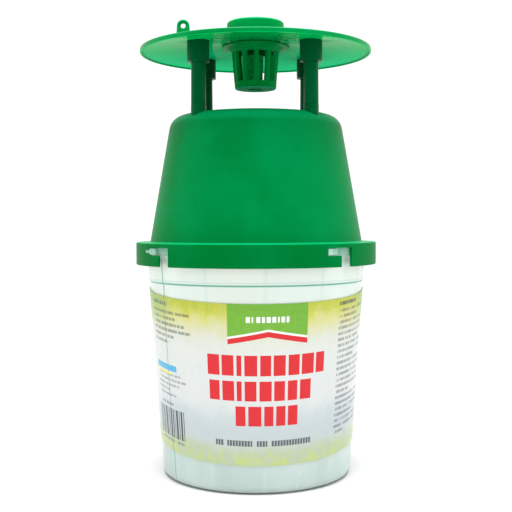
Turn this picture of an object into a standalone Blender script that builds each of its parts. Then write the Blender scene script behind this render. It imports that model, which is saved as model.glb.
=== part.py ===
"""Pheromone funnel trap for orchards and vineyards, in metres, +Z up, standing on z = 0.

A clear collecting bucket carries a green funnel hat on a four-lug bayonet. Four posts hold a
round rain cover above the hat, and a slotted lure cage hangs through the middle of the cover
under a press-on cap. Angles are in degrees about +Z, measured from -Y (the front) towards +X.
Outlines of turned pieces are lists of (radius, height) points.
"""

import math

import bmesh
import bpy
from mathutils import Matrix, Vector

MM = 0.001
GAP = 0.3 * MM

# Bucket.
BUCKET_FOOT_RADIUS = 59.6 * MM
BUCKET_SLOPE = 0.0662
BUCKET_WALL = 1.3 * MM
FOOT_FILLET = 5.0 * MM
FOOT_RING_RADIUS = 47.0 * MM
BASE_RISE = 0.8 * MM
FLOOR_TOP = 2.4 * MM
STEP_HEIGHT = 122.3 * MM
STEP_DEPTH = 0.5 * MM
FLARE_BOTTOM = 134.6 * MM
FLARE_RADIUS = 4.9 * MM
RIM_RADIUS = 74.1 * MM
RIM_TOP = 144.6 * MM
RIM_WALL = 1.8 * MM
RIB_COUNT = 12
RIB_OFFSET = 5.4
RIB_FOOT = 7.0 * MM
RIB_HEAD = 131.0 * MM
RIB_WIDTH = 1.0 * MM
RIB_DEPTH = 0.8 * MM

# Label, a straight-cut film round the front of the bucket. Its edges climb towards its ends,
# because the wall is tapered; the two heights are those in its middle.
LABEL_BOTTOM = 17.5 * MM
LABEL_TOP = 112.4 * MM
LABEL_BOTTOM_CLIMB = 0.098
LABEL_TOP_CLIMB = 0.072
LABEL_FILM = 0.3 * MM
LABEL_LIFT = 0.2 * MM
LABEL_CENTRE = 3.7
LABEL_HALF_TURN = 100.0

# Funnel hat and the funnel cone that hangs in its mouth.
BAND_RADIUS = 76.1 * MM
BAND_BOTTOM = 132.9 * MM
BAND_TOP = 146.8 * MM
BAND_FILLET = 0.8 * MM
SHELL_WALL = 1.6 * MM
HAT_TOP_RADIUS = 53.4 * MM
HAT_SLOPE = 0.1747
HAT_TOP = 226.2 * MM
SHOULDER_RADIUS = 9.7 * MM
MOUTH_RADIUS = 42.9 * MM
MOUTH_SHELF = 2.5 * MM
CONE_LIP = 1.0 * MM
THROAT_RADIUS = 16.0 * MM
THROAT_TOP = 172.6 * MM
THROAT_BOTTOM = 150.0 * MM
CONE_WALL = 1.6 * MM
CONE_ROLL = 3.0 * MM
CONE_DRAFT = 0.2 * MM

# Posts, and the bosses of the hat that they plug into.
POST_ANGLES = {"front_left": -45.0, "front_right": 45.0, "back_right": 135.0, "back_left": -135.0}
POST_CIRCLE = 47.9 * MM
POST_FOOT_RADIUS = 4.5 * MM
POST_HEAD_RADIUS = 4.25 * MM
POST_BOTTOM = 230.1 * MM
POST_TOP = 267.5 * MM
SPIGOT_RADIUS = 2.2 * MM
POST_CHAMFER = 0.5 * MM
SPIGOT_LENGTH = 5.6 * MM
BOSS_RADIUS = 4.6 * MM
BOSS_ROOT = 222.0 * MM

# Rain cover.
COVER_RADIUS = 73.0 * MM
COVER_LIP_BOTTOM = 265.4 * MM
COVER_RISE = 7.5 * MM
COVER_SLOPE = 0.0925
COVER_SHEET = 2.0 * MM
COVER_LIP = 1.6 * MM
COVER_HOLE_RADIUS = 15.6 * MM
SOCKET_RADIUS = 6.7 * MM
SOCKET_BORE = 4.65 * MM
SOCKET_BOTTOM = 255.2 * MM
SOCKET_ROOT = 269.5 * MM
POST_HEAD_GAP = 0.4 * MM
EYE_PLACE = (42.3 * MM, 39.0 * MM)
EYE_RADIUS = 3.75 * MM
EYE_HEIGHT = 275.8 * MM
EYE_ROOT = 268.6 * MM
EYE_THICKNESS = 2.2 * MM
EYE_HOLE_RADIUS = 1.5 * MM
EYE_RECESS_RADIUS = 2.5 * MM
EYE_RECESS_DEPTH = 0.4 * MM

# Lure cage, its cap and the lure.
CAGE_BOTTOM = 243.5 * MM
CAGE_FOOT_RADIUS = 13.1 * MM
CAGE_HEAD_RADIUS = 14.9 * MM
CAGE_WALL = 2.0 * MM
CAGE_FLOOR = 1.8 * MM
CAGE_HOLE_RADIUS = 2.2 * MM
CAGE_RECESS_RADIUS = 4.6 * MM
CAGE_RECESS_DEPTH = 0.6 * MM
CAGE_SLOTS = 11
CAGE_RIB_ANGLE = 3.9
CAGE_SLOT_REACH = (9.0 * MM, 16.5 * MM)
CAGE_SLOT_WIDTHS = (1.3 * MM, 7.3 * MM)
CAGE_SLOT_BOTTOM = 247.8 * MM
CAGE_SLOT_TOP = 266.4 * MM
COLLAR_RADIUS = 17.8 * MM
COLLAR_BOTTOM = 266.8 * MM
FLANGE_RADIUS = 21.2 * MM
FLANGE_TOP = 270.6 * MM
FLANGE_THICKNESS = 1.2 * MM
NECK_RADIUS = 15.2 * MM
NECK_WALL = 1.4 * MM
NECK_TOP = 283.6 * MM
CAP_RADIUS = 18.2 * MM
CAP_BOTTOM = 273.8 * MM
CAP_TOP = 285.9 * MM
CAP_ROOF = 1.8 * MM
CAP_WALL = 1.4 * MM
CAP_FILLET = 1.7 * MM
LURE_RADIUS = 5.0 * MM
LURE_LENGTH = 19.4 * MM
LURE_WALL = 1.6 * MM

# Bayonet: angles of the slots' open legs, and of the arms and lugs measured from a leg.
SLOT_ANGLES = (-135.0, -45.0, 45.0, 135.0)
SNAP_SLOTS = (-45.0, 135.0)
LEG_WIDTH = 6.8
ARM_REACH = 11.4
NOTCH_REACH = 15.6
NIB_MARGIN = 0.5
LOCK_TURN = 8.4
LUG_WIDTH = 5.2
LUG_RADIUS = 75.8 * MM
ARM_BOTTOM = 139.5 * MM
ARM_TOP = 144.2 * MM
NOTCH_HEIGHT = 2.6 * MM
LUG_CLEARANCE = 0.4 * MM

# Roundness: steps about the axis, and steps in a fillet.
LARGE_STEPS = 60
LABEL_STEPS = 36
SMALL_STEPS = 40
ROD_STEPS = 20
BORE_STEPS = 12
DISC_STEPS = 16
EYE_STEPS = 10
FILLET_STEPS = 4
EDGE_STEPS = 3
SHARP_ANGLE = math.radians(35)

GREEN = (0.003, 0.28, 0.055)
DEEP_GREEN = (0.002, 0.12, 0.03)
CLEAR = (0.8, 0.86, 0.83)
LABEL_CREAM = (0.82, 0.86, 0.72)
RUBBER = (0.015, 0.06, 0.03)


# Shared tools.

def clear_scene():
    """Remove every object, so that the file holds only this model."""
    for item in list(bpy.data.objects):
        bpy.data.objects.remove(item, do_unlink=True)


def plastic(name, colour, roughness, alpha=1.0):
    """A Principled material for a moulded piece."""
    material = bpy.data.materials.new(name)
    material.use_nodes = True
    shader = material.node_tree.nodes["Principled BSDF"]
    shader.inputs["Base Color"].default_value = (*colour, 1.0)
    shader.inputs["Roughness"].default_value = roughness
    shader.inputs["Metallic"].default_value = 0.0
    shader.inputs["Alpha"].default_value = alpha
    return material


def shade(mesh):
    """Smooth shading with the hard edges kept sharp."""
    mesh.shade_smooth()
    mesh.set_sharp_from_angle(angle=SHARP_ANGLE)


def new_object(name, bm, material=None):
    """Put a bmesh into the scene as an object, with its faces pointing out."""
    bmesh.ops.recalc_face_normals(bm, faces=bm.faces)
    mesh = bpy.data.meshes.new(name)
    bm.to_mesh(mesh)
    bm.free()
    shade(mesh)
    item = bpy.data.objects.new(name, mesh)
    if material:
        mesh.materials.append(material)
    bpy.context.collection.objects.link(item)
    return item


def arc(centre, radius, start, end, steps=FILLET_STEPS):
    """Points of an arc about centre in an outline, from angle start to end in degrees."""
    points = []
    for step in range(steps + 1):
        angle = math.radians(start + (end - start) * step / steps)
        points.append((centre[0] + radius * math.cos(angle), centre[1] + radius * math.sin(angle)))
    return points


def turned(name, outline, steps, material=None):
    """Spin an outline about Z. One that starts on the axis ends on it, another is a closed loop."""
    bm = bmesh.new()
    verts = [bm.verts.new((radius, 0.0, height)) for radius, height in outline]
    edges = [bm.edges.new(pair) for pair in zip(verts, verts[1:])]
    if outline[0][0] > 0.0:
        edges.append(bm.edges.new((verts[-1], verts[0])))
    bmesh.ops.spin(bm, geom=verts + edges, cent=(0, 0, 0), axis=(0, 0, 1), angle=math.tau,
                   steps=steps, use_merge=True)
    bmesh.ops.remove_doubles(bm, verts=bm.verts, dist=0.000001)
    return new_object(name, bm, material)


def loft(name, sections, material=None):
    """A solid through a row of outlines with equal numbers of 3-D points, closed at both ends."""
    bm = bmesh.new()
    rings = [[bm.verts.new(point) for point in section] for section in sections]
    for lower, upper in zip(rings, rings[1:]):
        for index in range(len(lower)):
            after = (index + 1) % len(lower)
            bm.faces.new((lower[index], lower[after], upper[after], upper[index]))
    bm.faces.new(rings[0])
    bm.faces.new(rings[-1])
    return new_object(name, bm, material)


def around(angle, radius, height=0.0):
    """The point at an angle from the front, a radius and a height."""
    turn = math.radians(angle)
    return Vector((radius * math.sin(turn), -radius * math.cos(turn), height))


def wrapped_block(name, outline, inner_radius, outer_radius):
    """A block between two radii, whose outline is a list of (angle, height) points."""
    sections = [[around(angle, radius, height) for angle, height in outline]
                for radius in (inner_radius, outer_radius)]
    return loft(name, sections)


def radial_block(name, angle, widths, foot, head):
    """An upright block across a wall at an angle.

    widths are those of its inner and its outer face; foot and head are (inner, outer, height).
    """
    near_half, far_half = (around(angle + 90.0, width / 2) for width in widths)
    sections = []
    for inner, outer, height in (foot, head):
        near = around(angle, inner, height)
        far = around(angle, outer, height)
        sections.append([near - near_half, far - far_half, far + far_half, near + near_half])
    return loft(name, sections)


def rod(name, radius, bottom, top, centre=(0.0, 0.0), steps=ROD_STEPS):
    """An upright cylinder between two heights."""
    item = turned(name, [(0.0, bottom), (radius, bottom), (radius, top), (0.0, top)], steps)
    item.data.transform(Matrix.Translation((centre[0], centre[1], 0.0)))
    return item


def combine(item, tools, operation):
    """Join or cut an object with each tool in turn, and remove the tools."""
    for tool in tools:
        modifier = item.modifiers.new(operation.lower(), "BOOLEAN")
        modifier.operation = operation
        modifier.solver = "EXACT"
        modifier.object = tool
        evaluated = item.evaluated_get(bpy.context.evaluated_depsgraph_get())
        mesh = bpy.data.meshes.new_from_object(evaluated)
        item.modifiers.clear()
        item.data = mesh
        bpy.data.objects.remove(tool, do_unlink=True)
    shade(item.data)
    return item


# Bucket and label.

def bucket_radius(height):
    """Outer radius of the bucket's tapered wall."""
    return BUCKET_FOOT_RADIUS + BUCKET_SLOPE * height


def bucket_outline():
    """The bucket's section: base, outer wall with its step, flared rim, and back down inside."""
    foot_centre = (bucket_radius(FOOT_FILLET) - FOOT_FILLET, FOOT_FILLET)
    flare_centre = (bucket_radius(FLARE_BOTTOM) + STEP_DEPTH + FLARE_RADIUS, FLARE_BOTTOM)
    inner_fillet = FOOT_FILLET - BUCKET_WALL
    inner_centre = (foot_centre[0], FLOOR_TOP + inner_fillet)
    rim_inner = RIM_RADIUS - RIM_WALL
    points = [(0.0, BASE_RISE), (FOOT_RING_RADIUS - BASE_RISE, BASE_RISE), (FOOT_RING_RADIUS, 0.0)]
    points += arc(foot_centre, FOOT_FILLET, -90, 0)
    points.append((bucket_radius(STEP_HEIGHT), STEP_HEIGHT))
    points.append((bucket_radius(STEP_HEIGHT) + STEP_DEPTH, STEP_HEIGHT + STEP_DEPTH))
    points += arc(flare_centre, FLARE_RADIUS, 180, 92)
    points.append((RIM_RADIUS, FLARE_BOTTOM + FLARE_RADIUS + STEP_DEPTH))
    points.append((RIM_RADIUS, RIM_TOP - STEP_DEPTH))
    points.append((RIM_RADIUS - STEP_DEPTH, RIM_TOP))
    points.append((rim_inner, RIM_TOP))
    points += arc(flare_centre, FLARE_RADIUS + BUCKET_WALL, 104, 180)
    points += arc(inner_centre, inner_fillet, 0, -90)
    points.append((0.0, FLOOR_TOP))
    return points


def bucket_rib(index):
    """One of the slim upright ribs inside the wall."""
    levels = []
    for height in (RIB_FOOT, RIB_HEAD):
        inside = bucket_radius(height) - BUCKET_WALL
        levels.append((inside - RIB_DEPTH, inside + BUCKET_WALL / 2, height))
    angle = RIB_OFFSET + index * 360.0 / RIB_COUNT
    return radial_block(f"rib_{index}", angle, (RIB_WIDTH, RIB_WIDTH), *levels)


def bucket_lug(angle):
    """A bayonet lug in its locked place; two of the four have a snap nib on their leading end."""
    bottom, top = ARM_BOTTOM + LUG_CLEARANCE, ARM_TOP - LUG_CLEARANCE
    middle = (bottom + top) / 2
    nib = NOTCH_HEIGHT / 2 - LUG_CLEARANCE
    lead, trail = angle - LOCK_TURN - LUG_WIDTH / 2, angle - LOCK_TURN + LUG_WIDTH / 2
    outline = [(lead, bottom), (trail, bottom), (trail, top), (lead, top)]
    if angle in SNAP_SLOTS:
        tip = angle - NOTCH_REACH + NIB_MARGIN
        outline += [(lead, middle + nib), (tip, middle + nib / 2), (tip, middle - nib)]
        outline += [(lead, middle - nib)]
    return wrapped_block("lug", outline, RIM_RADIUS - RIM_WALL / 2, LUG_RADIUS)


def make_bucket(material):
    bucket = turned("collecting_bucket", bucket_outline(), LARGE_STEPS, material)
    combine(bucket, [bucket_rib(index) for index in range(RIB_COUNT)], "UNION")
    return combine(bucket, [bucket_lug(angle) for angle in SLOT_ANGLES], "UNION")


def label_edge(height, climb, offset):
    """Height of an edge of the film at an angle from its middle."""
    return height + bucket_radius(height) * climb * math.radians(offset) ** 2 / 2


def make_label(material):
    """The film's row of sections, each inner foot, outer foot, outer head, inner head."""
    sections = []
    for index in range(LABEL_STEPS + 1):
        offset = LABEL_HALF_TURN * (2 * index / LABEL_STEPS - 1)
        bottom = label_edge(LABEL_BOTTOM, LABEL_BOTTOM_CLIMB, offset)
        top = label_edge(LABEL_TOP, LABEL_TOP_CLIMB, offset)
        section = []
        for height, lifts in ((bottom, (0, 1)), (top, (1, 0))):
            for lift in lifts:
                radius = bucket_radius(height) + LABEL_LIFT + lift * LABEL_FILM
                section.append(around(LABEL_CENTRE + offset, radius, height))
        sections.append(section)
    return loft("bucket_label", sections, material)


# Funnel hat, cone and posts.

def hat_radius(height):
    """Outer radius of the hat's tapered wall."""
    return HAT_TOP_RADIUS + HAT_SLOPE * (HAT_TOP - height)


def hat_outline():
    """The hat's section: band, tapered wall, rounded shoulder and mouth shelf, then inside."""
    tilt = math.degrees(math.atan(HAT_SLOPE))
    shoulder_height = HAT_TOP - SHOULDER_RADIUS
    offset = 1 / math.cos(math.radians(tilt))
    shoulder = (hat_radius(shoulder_height) - SHOULDER_RADIUS * offset, shoulder_height)
    under_plate = BAND_TOP - SHELL_WALL
    shelf_top = HAT_TOP - CONE_LIP - GAP
    shelf_bottom = shelf_top - SHELL_WALL
    points = [(BAND_RADIUS - SHELL_WALL, BAND_BOTTOM), (BAND_RADIUS, BAND_BOTTOM)]
    band_edge = (BAND_RADIUS - BAND_FILLET, BAND_TOP - BAND_FILLET)
    points += arc(band_edge, BAND_FILLET, 0, 90, EDGE_STEPS)
    points.append((hat_radius(BAND_TOP), BAND_TOP))
    points += arc(shoulder, SHOULDER_RADIUS, tilt, 90, FILLET_STEPS + 2)
    points += [(MOUTH_RADIUS, HAT_TOP), (MOUTH_RADIUS, shelf_top)]
    points += [(MOUTH_RADIUS - MOUTH_SHELF, shelf_top), (MOUTH_RADIUS - MOUTH_SHELF, shelf_bottom)]
    points += [(MOUTH_RADIUS + SHELL_WALL, shelf_bottom)]
    points += arc(shoulder, SHOULDER_RADIUS - SHELL_WALL, 90, tilt)
    points.append((hat_radius(under_plate) - SHELL_WALL * offset, under_plate))
    points.append((BAND_RADIUS - SHELL_WALL, under_plate))
    return points


def slot_cutter(angle):
    """The L-shaped bayonet slot: an open leg, an arm to its left, and on two a snap notch."""
    half = LEG_WIDTH / 2
    below = BAND_BOTTOM - SHELL_WALL
    middle = (ARM_BOTTOM + ARM_TOP) / 2
    end = angle - ARM_REACH
    outline = [(angle - half, below), (angle + half, below), (angle + half, ARM_TOP), (end, ARM_TOP)]
    if angle in SNAP_SLOTS:
        tip = angle - NOTCH_REACH
        reach = NOTCH_HEIGHT / 2
        outline += [(end, middle + reach), (tip, middle + reach / 2)]
        outline += [(tip, middle - reach), (end, middle - reach)]
    outline += [(end, ARM_BOTTOM), (angle - half, ARM_BOTTOM)]
    return wrapped_block("slot", outline, BAND_RADIUS - 2 * SHELL_WALL, BAND_RADIUS + SHELL_WALL)


def make_hat(material):
    hat = turned("funnel_hat", hat_outline(), LARGE_STEPS, material)
    boss_top = POST_BOTTOM - GAP
    bore_bottom = POST_BOTTOM - SPIGOT_LENGTH - GAP
    bosses, bores = [], []
    for angle in POST_ANGLES.values():
        place = around(angle, POST_CIRCLE)
        bosses.append(rod("boss", BOSS_RADIUS, BOSS_ROOT, boss_top, place))
        bores.append(rod("bore", SPIGOT_RADIUS + GAP, bore_bottom, boss_top + GAP, place, BORE_STEPS))
    combine(hat, bosses, "UNION")
    combine(hat, bores, "DIFFERENCE")
    return combine(hat, [slot_cutter(angle) for angle in SLOT_ANGLES], "DIFFERENCE")


def make_cone(material):
    """The funnel: a lip that rests on the mouth's shelf, a steep cone and a short spout."""
    neck = MOUTH_RADIUS - MOUTH_SHELF - GAP
    lip_radius = MOUTH_RADIUS - GAP
    lip_bottom = HAT_TOP - CONE_LIP
    roll_centre = (neck + CONE_LIP, HAT_TOP - CONE_ROLL)
    points = [(lip_radius, lip_bottom), (neck, lip_bottom), (neck, lip_bottom - CONE_LIP)]
    points.append((THROAT_RADIUS + CONE_WALL, THROAT_TOP))
    points.append((THROAT_RADIUS + CONE_WALL - CONE_DRAFT, THROAT_BOTTOM))
    points.append((THROAT_RADIUS - CONE_DRAFT, THROAT_BOTTOM))
    points.append((THROAT_RADIUS, THROAT_TOP + CONE_DRAFT))
    points += arc(roll_centre, CONE_ROLL, 156, 90, EDGE_STEPS)
    points.append((lip_radius, HAT_TOP))
    return turned("funnel_cone", points, LARGE_STEPS, material)


def make_posts(material, hat):
    """Four equal posts, each with a spigot in a boss of the hat; they share one mesh."""
    length = POST_TOP - POST_BOTTOM
    outline = [(0.0, -SPIGOT_LENGTH), (SPIGOT_RADIUS, -SPIGOT_LENGTH), (SPIGOT_RADIUS, 0.0)]
    outline += [(POST_FOOT_RADIUS, 0.0), (POST_HEAD_RADIUS, length - POST_CHAMFER)]
    outline += [(POST_HEAD_RADIUS - POST_CHAMFER, length), (0.0, length)]
    mesh = None
    for side, angle in POST_ANGLES.items():
        name = f"cover_post_{side}"
        if mesh is None:
            post = turned(name, outline, ROD_STEPS, material)
            mesh = post.data
        else:
            post = bpy.data.objects.new(name, mesh)
            bpy.context.collection.objects.link(post)
        post.parent = hat
        post.location = around(angle, POST_CIRCLE, POST_BOTTOM)


# Rain cover. Heights in its mesh are measured from the bottom of its lip.

def cover_underside(radius):
    """Height of the cover's shallow conical underside above its lip."""
    return COVER_RISE - COVER_SLOPE * radius


def cover_outline():
    edge = 0.4 * MM
    inner = COVER_RADIUS - COVER_LIP
    points = [(COVER_HOLE_RADIUS, cover_underside(COVER_HOLE_RADIUS)), (inner, cover_underside(inner))]
    points += [(inner + edge, 0.0), (COVER_RADIUS - edge, 0.0), (COVER_RADIUS, edge)]
    rim_top = cover_underside(COVER_RADIUS) + COVER_SHEET
    points += [(COVER_RADIUS, rim_top - edge), (COVER_RADIUS - edge, rim_top)]
    points.append((COVER_HOLE_RADIUS, cover_underside(COVER_HOLE_RADIUS) + COVER_SHEET))
    return points


def flat_disc(name, radius, place, height, near, far):
    """A cylinder lying along Y, centred on a place and a height, between two Y offsets."""
    sections = []
    for offset in (near, far):
        ring = arc((place[0], height), radius, 0, 360, DISC_STEPS)[:-1]
        sections.append([(x, place[1] + offset, z) for x, z in ring])
    return loft(name, sections)


def hanging_eye(place):
    """An upright tab on the cover's top, with a rounded head; it faces front and back."""
    root = EYE_ROOT - COVER_LIP_BOTTOM
    height = EYE_HEIGHT - COVER_LIP_BOTTOM
    head = arc((place[0], height), EYE_RADIUS, 0, 180, EYE_STEPS)
    outline = [(place[0] - EYE_RADIUS, root), (place[0] + EYE_RADIUS, root)] + head
    half = EYE_THICKNESS / 2
    sections = [[(x, place[1] + offset, z) for x, z in outline] for offset in (-half, half)]
    return loft("eye", sections)


def eye_cutters(place):
    """The eye's through hole and a shallow recess round it on both faces."""
    height = EYE_HEIGHT - COVER_LIP_BOTTOM
    half = EYE_THICKNESS / 2
    inner = half - EYE_RECESS_DEPTH
    outer = half + EYE_RECESS_DEPTH
    return [flat_disc("eye_hole", EYE_HOLE_RADIUS, place, height, -outer, outer),
            flat_disc("eye_recess", EYE_RECESS_RADIUS, place, height, -outer, -inner),
            flat_disc("eye_recess", EYE_RECESS_RADIUS, place, height, inner, outer)]


def make_cover(material, hat):
    cover = turned("rain_cover", cover_outline(), LARGE_STEPS, material)
    bottom = SOCKET_BOTTOM - COVER_LIP_BOTTOM
    root = SOCKET_ROOT - COVER_LIP_BOTTOM
    ceiling = POST_TOP - COVER_LIP_BOTTOM + POST_HEAD_GAP
    sockets, bores = [], []
    for angle in POST_ANGLES.values():
        place = around(angle, POST_CIRCLE)
        sockets.append(rod("socket", SOCKET_RADIUS, bottom, root, place))
        bores.append(rod("socket_bore", SOCKET_BORE, bottom - GAP, ceiling, place))
    combine(cover, sockets, "UNION")
    combine(cover, bores, "DIFFERENCE")
    for side in (-1, 1):
        place = (side * EYE_PLACE[0], side * EYE_PLACE[1])
        combine(cover, [hanging_eye(place)], "UNION")
        combine(cover, eye_cutters(place), "DIFFERENCE")
    cover.parent = hat
    cover.location = (0.0, 0.0, COVER_LIP_BOTTOM)
    return cover


# Lure cage, cap and lure. Heights in the cage's mesh are measured from its flange's top.

def cage_outline():
    """The cage's section: recessed floor, tapered body, collar, flange and neck, then inside."""
    foot = CAGE_BOTTOM - FLANGE_TOP
    floor = foot + CAGE_FLOOR
    recess = foot + CAGE_RECESS_DEPTH
    collar = COLLAR_BOTTOM - FLANGE_TOP
    edge = 0.8 * MM
    chamfer = 0.3 * MM
    neck = NECK_TOP - FLANGE_TOP
    neck_inner = NECK_RADIUS - NECK_WALL
    points = [(CAGE_HOLE_RADIUS, floor), (CAGE_HOLE_RADIUS, recess), (CAGE_RECESS_RADIUS, recess)]
    points.append((CAGE_RECESS_RADIUS, foot))
    points += arc((CAGE_FOOT_RADIUS - edge, foot + edge), edge, -90, 0, 2)
    points += [(CAGE_HEAD_RADIUS, collar), (COLLAR_RADIUS, -FLANGE_THICKNESS)]
    points += [(FLANGE_RADIUS - chamfer, -FLANGE_THICKNESS), (FLANGE_RADIUS, -FLANGE_THICKNESS / 2)]
    points += [(FLANGE_RADIUS - chamfer, 0.0), (NECK_RADIUS, 0.0)]
    points += [(NECK_RADIUS, neck - chamfer), (NECK_RADIUS - chamfer, neck), (neck_inner, neck)]
    points += [(neck_inner, 0.0), (CAGE_HEAD_RADIUS - CAGE_WALL, collar)]
    points += [(CAGE_FOOT_RADIUS - CAGE_WALL, floor + chamfer)]
    points += [(CAGE_FOOT_RADIUS - CAGE_WALL - chamfer, floor)]
    return points


def make_cage(material, cover):
    cage = turned("lure_cage", cage_outline(), SMALL_STEPS, material)
    foot = (*CAGE_SLOT_REACH, CAGE_SLOT_BOTTOM - FLANGE_TOP)
    head = (*CAGE_SLOT_REACH, CAGE_SLOT_TOP - FLANGE_TOP)
    pitch = 360.0 / CAGE_SLOTS
    cutters = [radial_block("cage_slot", CAGE_RIB_ANGLE + pitch * (index + 0.5), CAGE_SLOT_WIDTHS, foot, head)
               for index in range(CAGE_SLOTS)]
    combine(cage, cutters, "DIFFERENCE")
    cage.parent = cover
    cage.location = (0.0, 0.0, FLANGE_TOP - COVER_LIP_BOTTOM)
    return cage


def make_cap(material, cover):
    """The press-on cap, with a snap bead inside its mouth. Its mesh stands on its open end."""
    height = CAP_TOP - CAP_BOTTOM
    ceiling = height - CAP_ROOF
    bead = NECK_RADIUS + GAP
    bore = CAP_RADIUS - CAP_WALL
    edge = 0.4 * MM
    points = [(0.0, height)]
    points += arc((CAP_RADIUS - CAP_FILLET, height - CAP_FILLET), CAP_FILLET, 90, 0, EDGE_STEPS)
    points += [(CAP_RADIUS, edge), (CAP_RADIUS - edge, 0.0), (bead + edge, 0.0)]
    points += [(bead, 2 * edge), (bead, 4 * edge), (bore, 7 * edge), (bore, ceiling), (0.0, ceiling)]
    cap = turned("lure_cage_cap", points, SMALL_STEPS, material)
    cap.parent = cover
    cap.location = (0.0, 0.0, CAP_BOTTOM - COVER_LIP_BOTTOM)


def make_lure(material, cage):
    """A rubber septum that stands on the cage's floor, its thicker and hollow end up."""
    half = LURE_LENGTH / 2
    edge = 0.4 * MM
    slim = LURE_RADIUS - edge
    bore = LURE_RADIUS - LURE_WALL
    points = [(0.0, -half), (slim - edge, -half), (slim, edge - half), (slim, 0.0)]
    points += [(LURE_RADIUS, edge), (LURE_RADIUS, half - edge), (LURE_RADIUS - edge, half)]
    points += [(bore, half), (bore, edge), (0.0, edge)]
    lure = turned("pheromone_lure", points, ROD_STEPS, material)
    lure.parent = cage
    lure.location = (0.0, 0.0, CAGE_BOTTOM + CAGE_FLOOR + GAP + half - FLANGE_TOP)


def build_trap():
    clear_scene()
    green = plastic("green_plastic", GREEN, 0.32)
    deep_green = plastic("deep_green_plastic", DEEP_GREEN, 0.35)
    make_bucket(plastic("clear_plastic", CLEAR, 0.12, 0.35))
    make_label(plastic("label_film", LABEL_CREAM, 0.35))
    hat = make_hat(green)
    cone = make_cone(green)
    cone.parent = hat
    make_posts(deep_green, hat)
    cover = make_cover(green, hat)
    cage = make_cage(deep_green, cover)
    make_cap(green, cover)
    make_lure(plastic("lure_rubber", RUBBER, 0.7), cage)
    bpy.context.view_layer.update()


build_trap()
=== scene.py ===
"""Looks of the pheromone funnel trap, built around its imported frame, in metres, +Z up.

Angles are in degrees about +Z, measured from -Y (the front) towards +X. Outlines of turned
pieces are rows of (radius, height, fillet) corners in millimetres.
"""

import math

import bmesh
import bpy
from mathutils import Matrix, Vector


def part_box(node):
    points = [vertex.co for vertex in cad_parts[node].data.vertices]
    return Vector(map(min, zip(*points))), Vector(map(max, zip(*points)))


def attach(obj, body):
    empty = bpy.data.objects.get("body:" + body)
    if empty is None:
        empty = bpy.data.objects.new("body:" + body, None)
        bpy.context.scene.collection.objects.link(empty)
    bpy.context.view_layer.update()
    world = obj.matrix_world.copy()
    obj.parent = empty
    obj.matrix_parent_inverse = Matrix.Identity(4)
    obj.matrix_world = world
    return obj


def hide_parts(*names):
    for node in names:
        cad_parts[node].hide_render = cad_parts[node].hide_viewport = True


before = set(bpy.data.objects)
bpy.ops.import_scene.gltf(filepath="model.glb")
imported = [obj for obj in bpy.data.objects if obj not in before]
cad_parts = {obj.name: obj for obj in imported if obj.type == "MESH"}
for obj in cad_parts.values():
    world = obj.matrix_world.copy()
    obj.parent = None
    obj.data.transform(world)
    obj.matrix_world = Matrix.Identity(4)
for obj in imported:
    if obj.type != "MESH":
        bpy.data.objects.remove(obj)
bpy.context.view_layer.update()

MM = 0.001


def low(node):
    """Lowest corner of a node's box, in millimetres."""
    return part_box(node)[0] / MM


def high(node):
    """Highest corner of a node's box, in millimetres."""
    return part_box(node)[1] / MM


# Sizes, in millimetres and degrees. The heights and radii that bound a piece come from the frame.

# Room that two pieces keep between them.
GAP = 0.3

# Bucket.
RIM_TOP = high("collecting_bucket").z
RIM_WALL = 1.8
RIM_RADIUS = 74.1
RIM_ROOT = 140.9
LUG_RADIUS = 75.8
BUCKET_FOOT = 59.6
FOOT_FILLET = 5.0
FOOT_RING = 47.0
BASE_RISE = 0.8
GATE_RADIUS = 2.1
BASE_RING = (28.6, 30.8)
FLOOR_TOP = 2.4
BUCKET_SLOPE = 0.0662
BUCKET_WALL = 1.3
STEP_HEIGHT = 122.3
STEP_DEPTH = 0.5
FLARE_TOP = 139.6
RIB_COUNT = 12
RIB_OFFSET = 5.4
RIB_DEPTH = 0.8
RIB_FOOT = 6.0
RIB_HEAD = 131.0
# A rib's section: degrees from its crest, and the share of its depth.
RIB_PROFILE = ((-0.60, 0.0), (-0.42, 0.75), (-0.18, 1.0), (0.18, 1.0), (0.42, 0.75), (0.60, 0.0))

# Label. Its edges climb towards its ends, because the wall is tapered.
LABEL_BOTTOM = low("bucket_label").z
LABEL_TOP = 112.4
LABEL_BOTTOM_CLIMB = 0.098
LABEL_TOP_CLIMB = 0.072
LABEL_CENTRE = 3.7
LABEL_HALF_TURN = 100.0
LABEL_UNDER = 0.05
LABEL_SKIN = 0.5
LABEL_COLUMNS = 160
LABEL_ROWS = 6

# Funnel hat and cone.
BAND_RADIUS = high("funnel_hat").x
BAND_BOTTOM = low("funnel_hat").z
BAND_TOP = 146.8
SHELL_WALL = 1.6
HAT_TOP = 226.2
HAT_TOP_RADIUS = 53.4
HAT_SLOPE = 0.1747
SHOULDER_RADIUS = 9.7
MOUTH_RADIUS = 42.9
MOUTH_SHELF = 2.5
CONE_TOP = high("funnel_cone").z
CONE_BOTTOM = low("funnel_cone").z
CONE_LIP_RADIUS = high("funnel_cone").x
CONE_LIP = 1.0
CONE_DRAFT = 0.2
THROAT_RADIUS = 16.0
THROAT_TOP = 172.6

# Posts.
POST_ANGLES = {"front_left": -45.0, "front_right": 45.0, "back_right": 135.0, "back_left": -135.0}
POST_CIRCLE = 47.9
POST_TOP = high("cover_post_front_left").z
POST_BOTTOM = 230.1
SPIGOT_BOTTOM = low("cover_post_front_left").z
SPIGOT_RADIUS = 2.2
POST_FOOT_RADIUS = 4.5
POST_HEAD_RADIUS = 4.25
POST_HEAD_GAP = 0.4
BOSS_RADIUS = 4.6
BOSS_ROOT = 222.0

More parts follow.
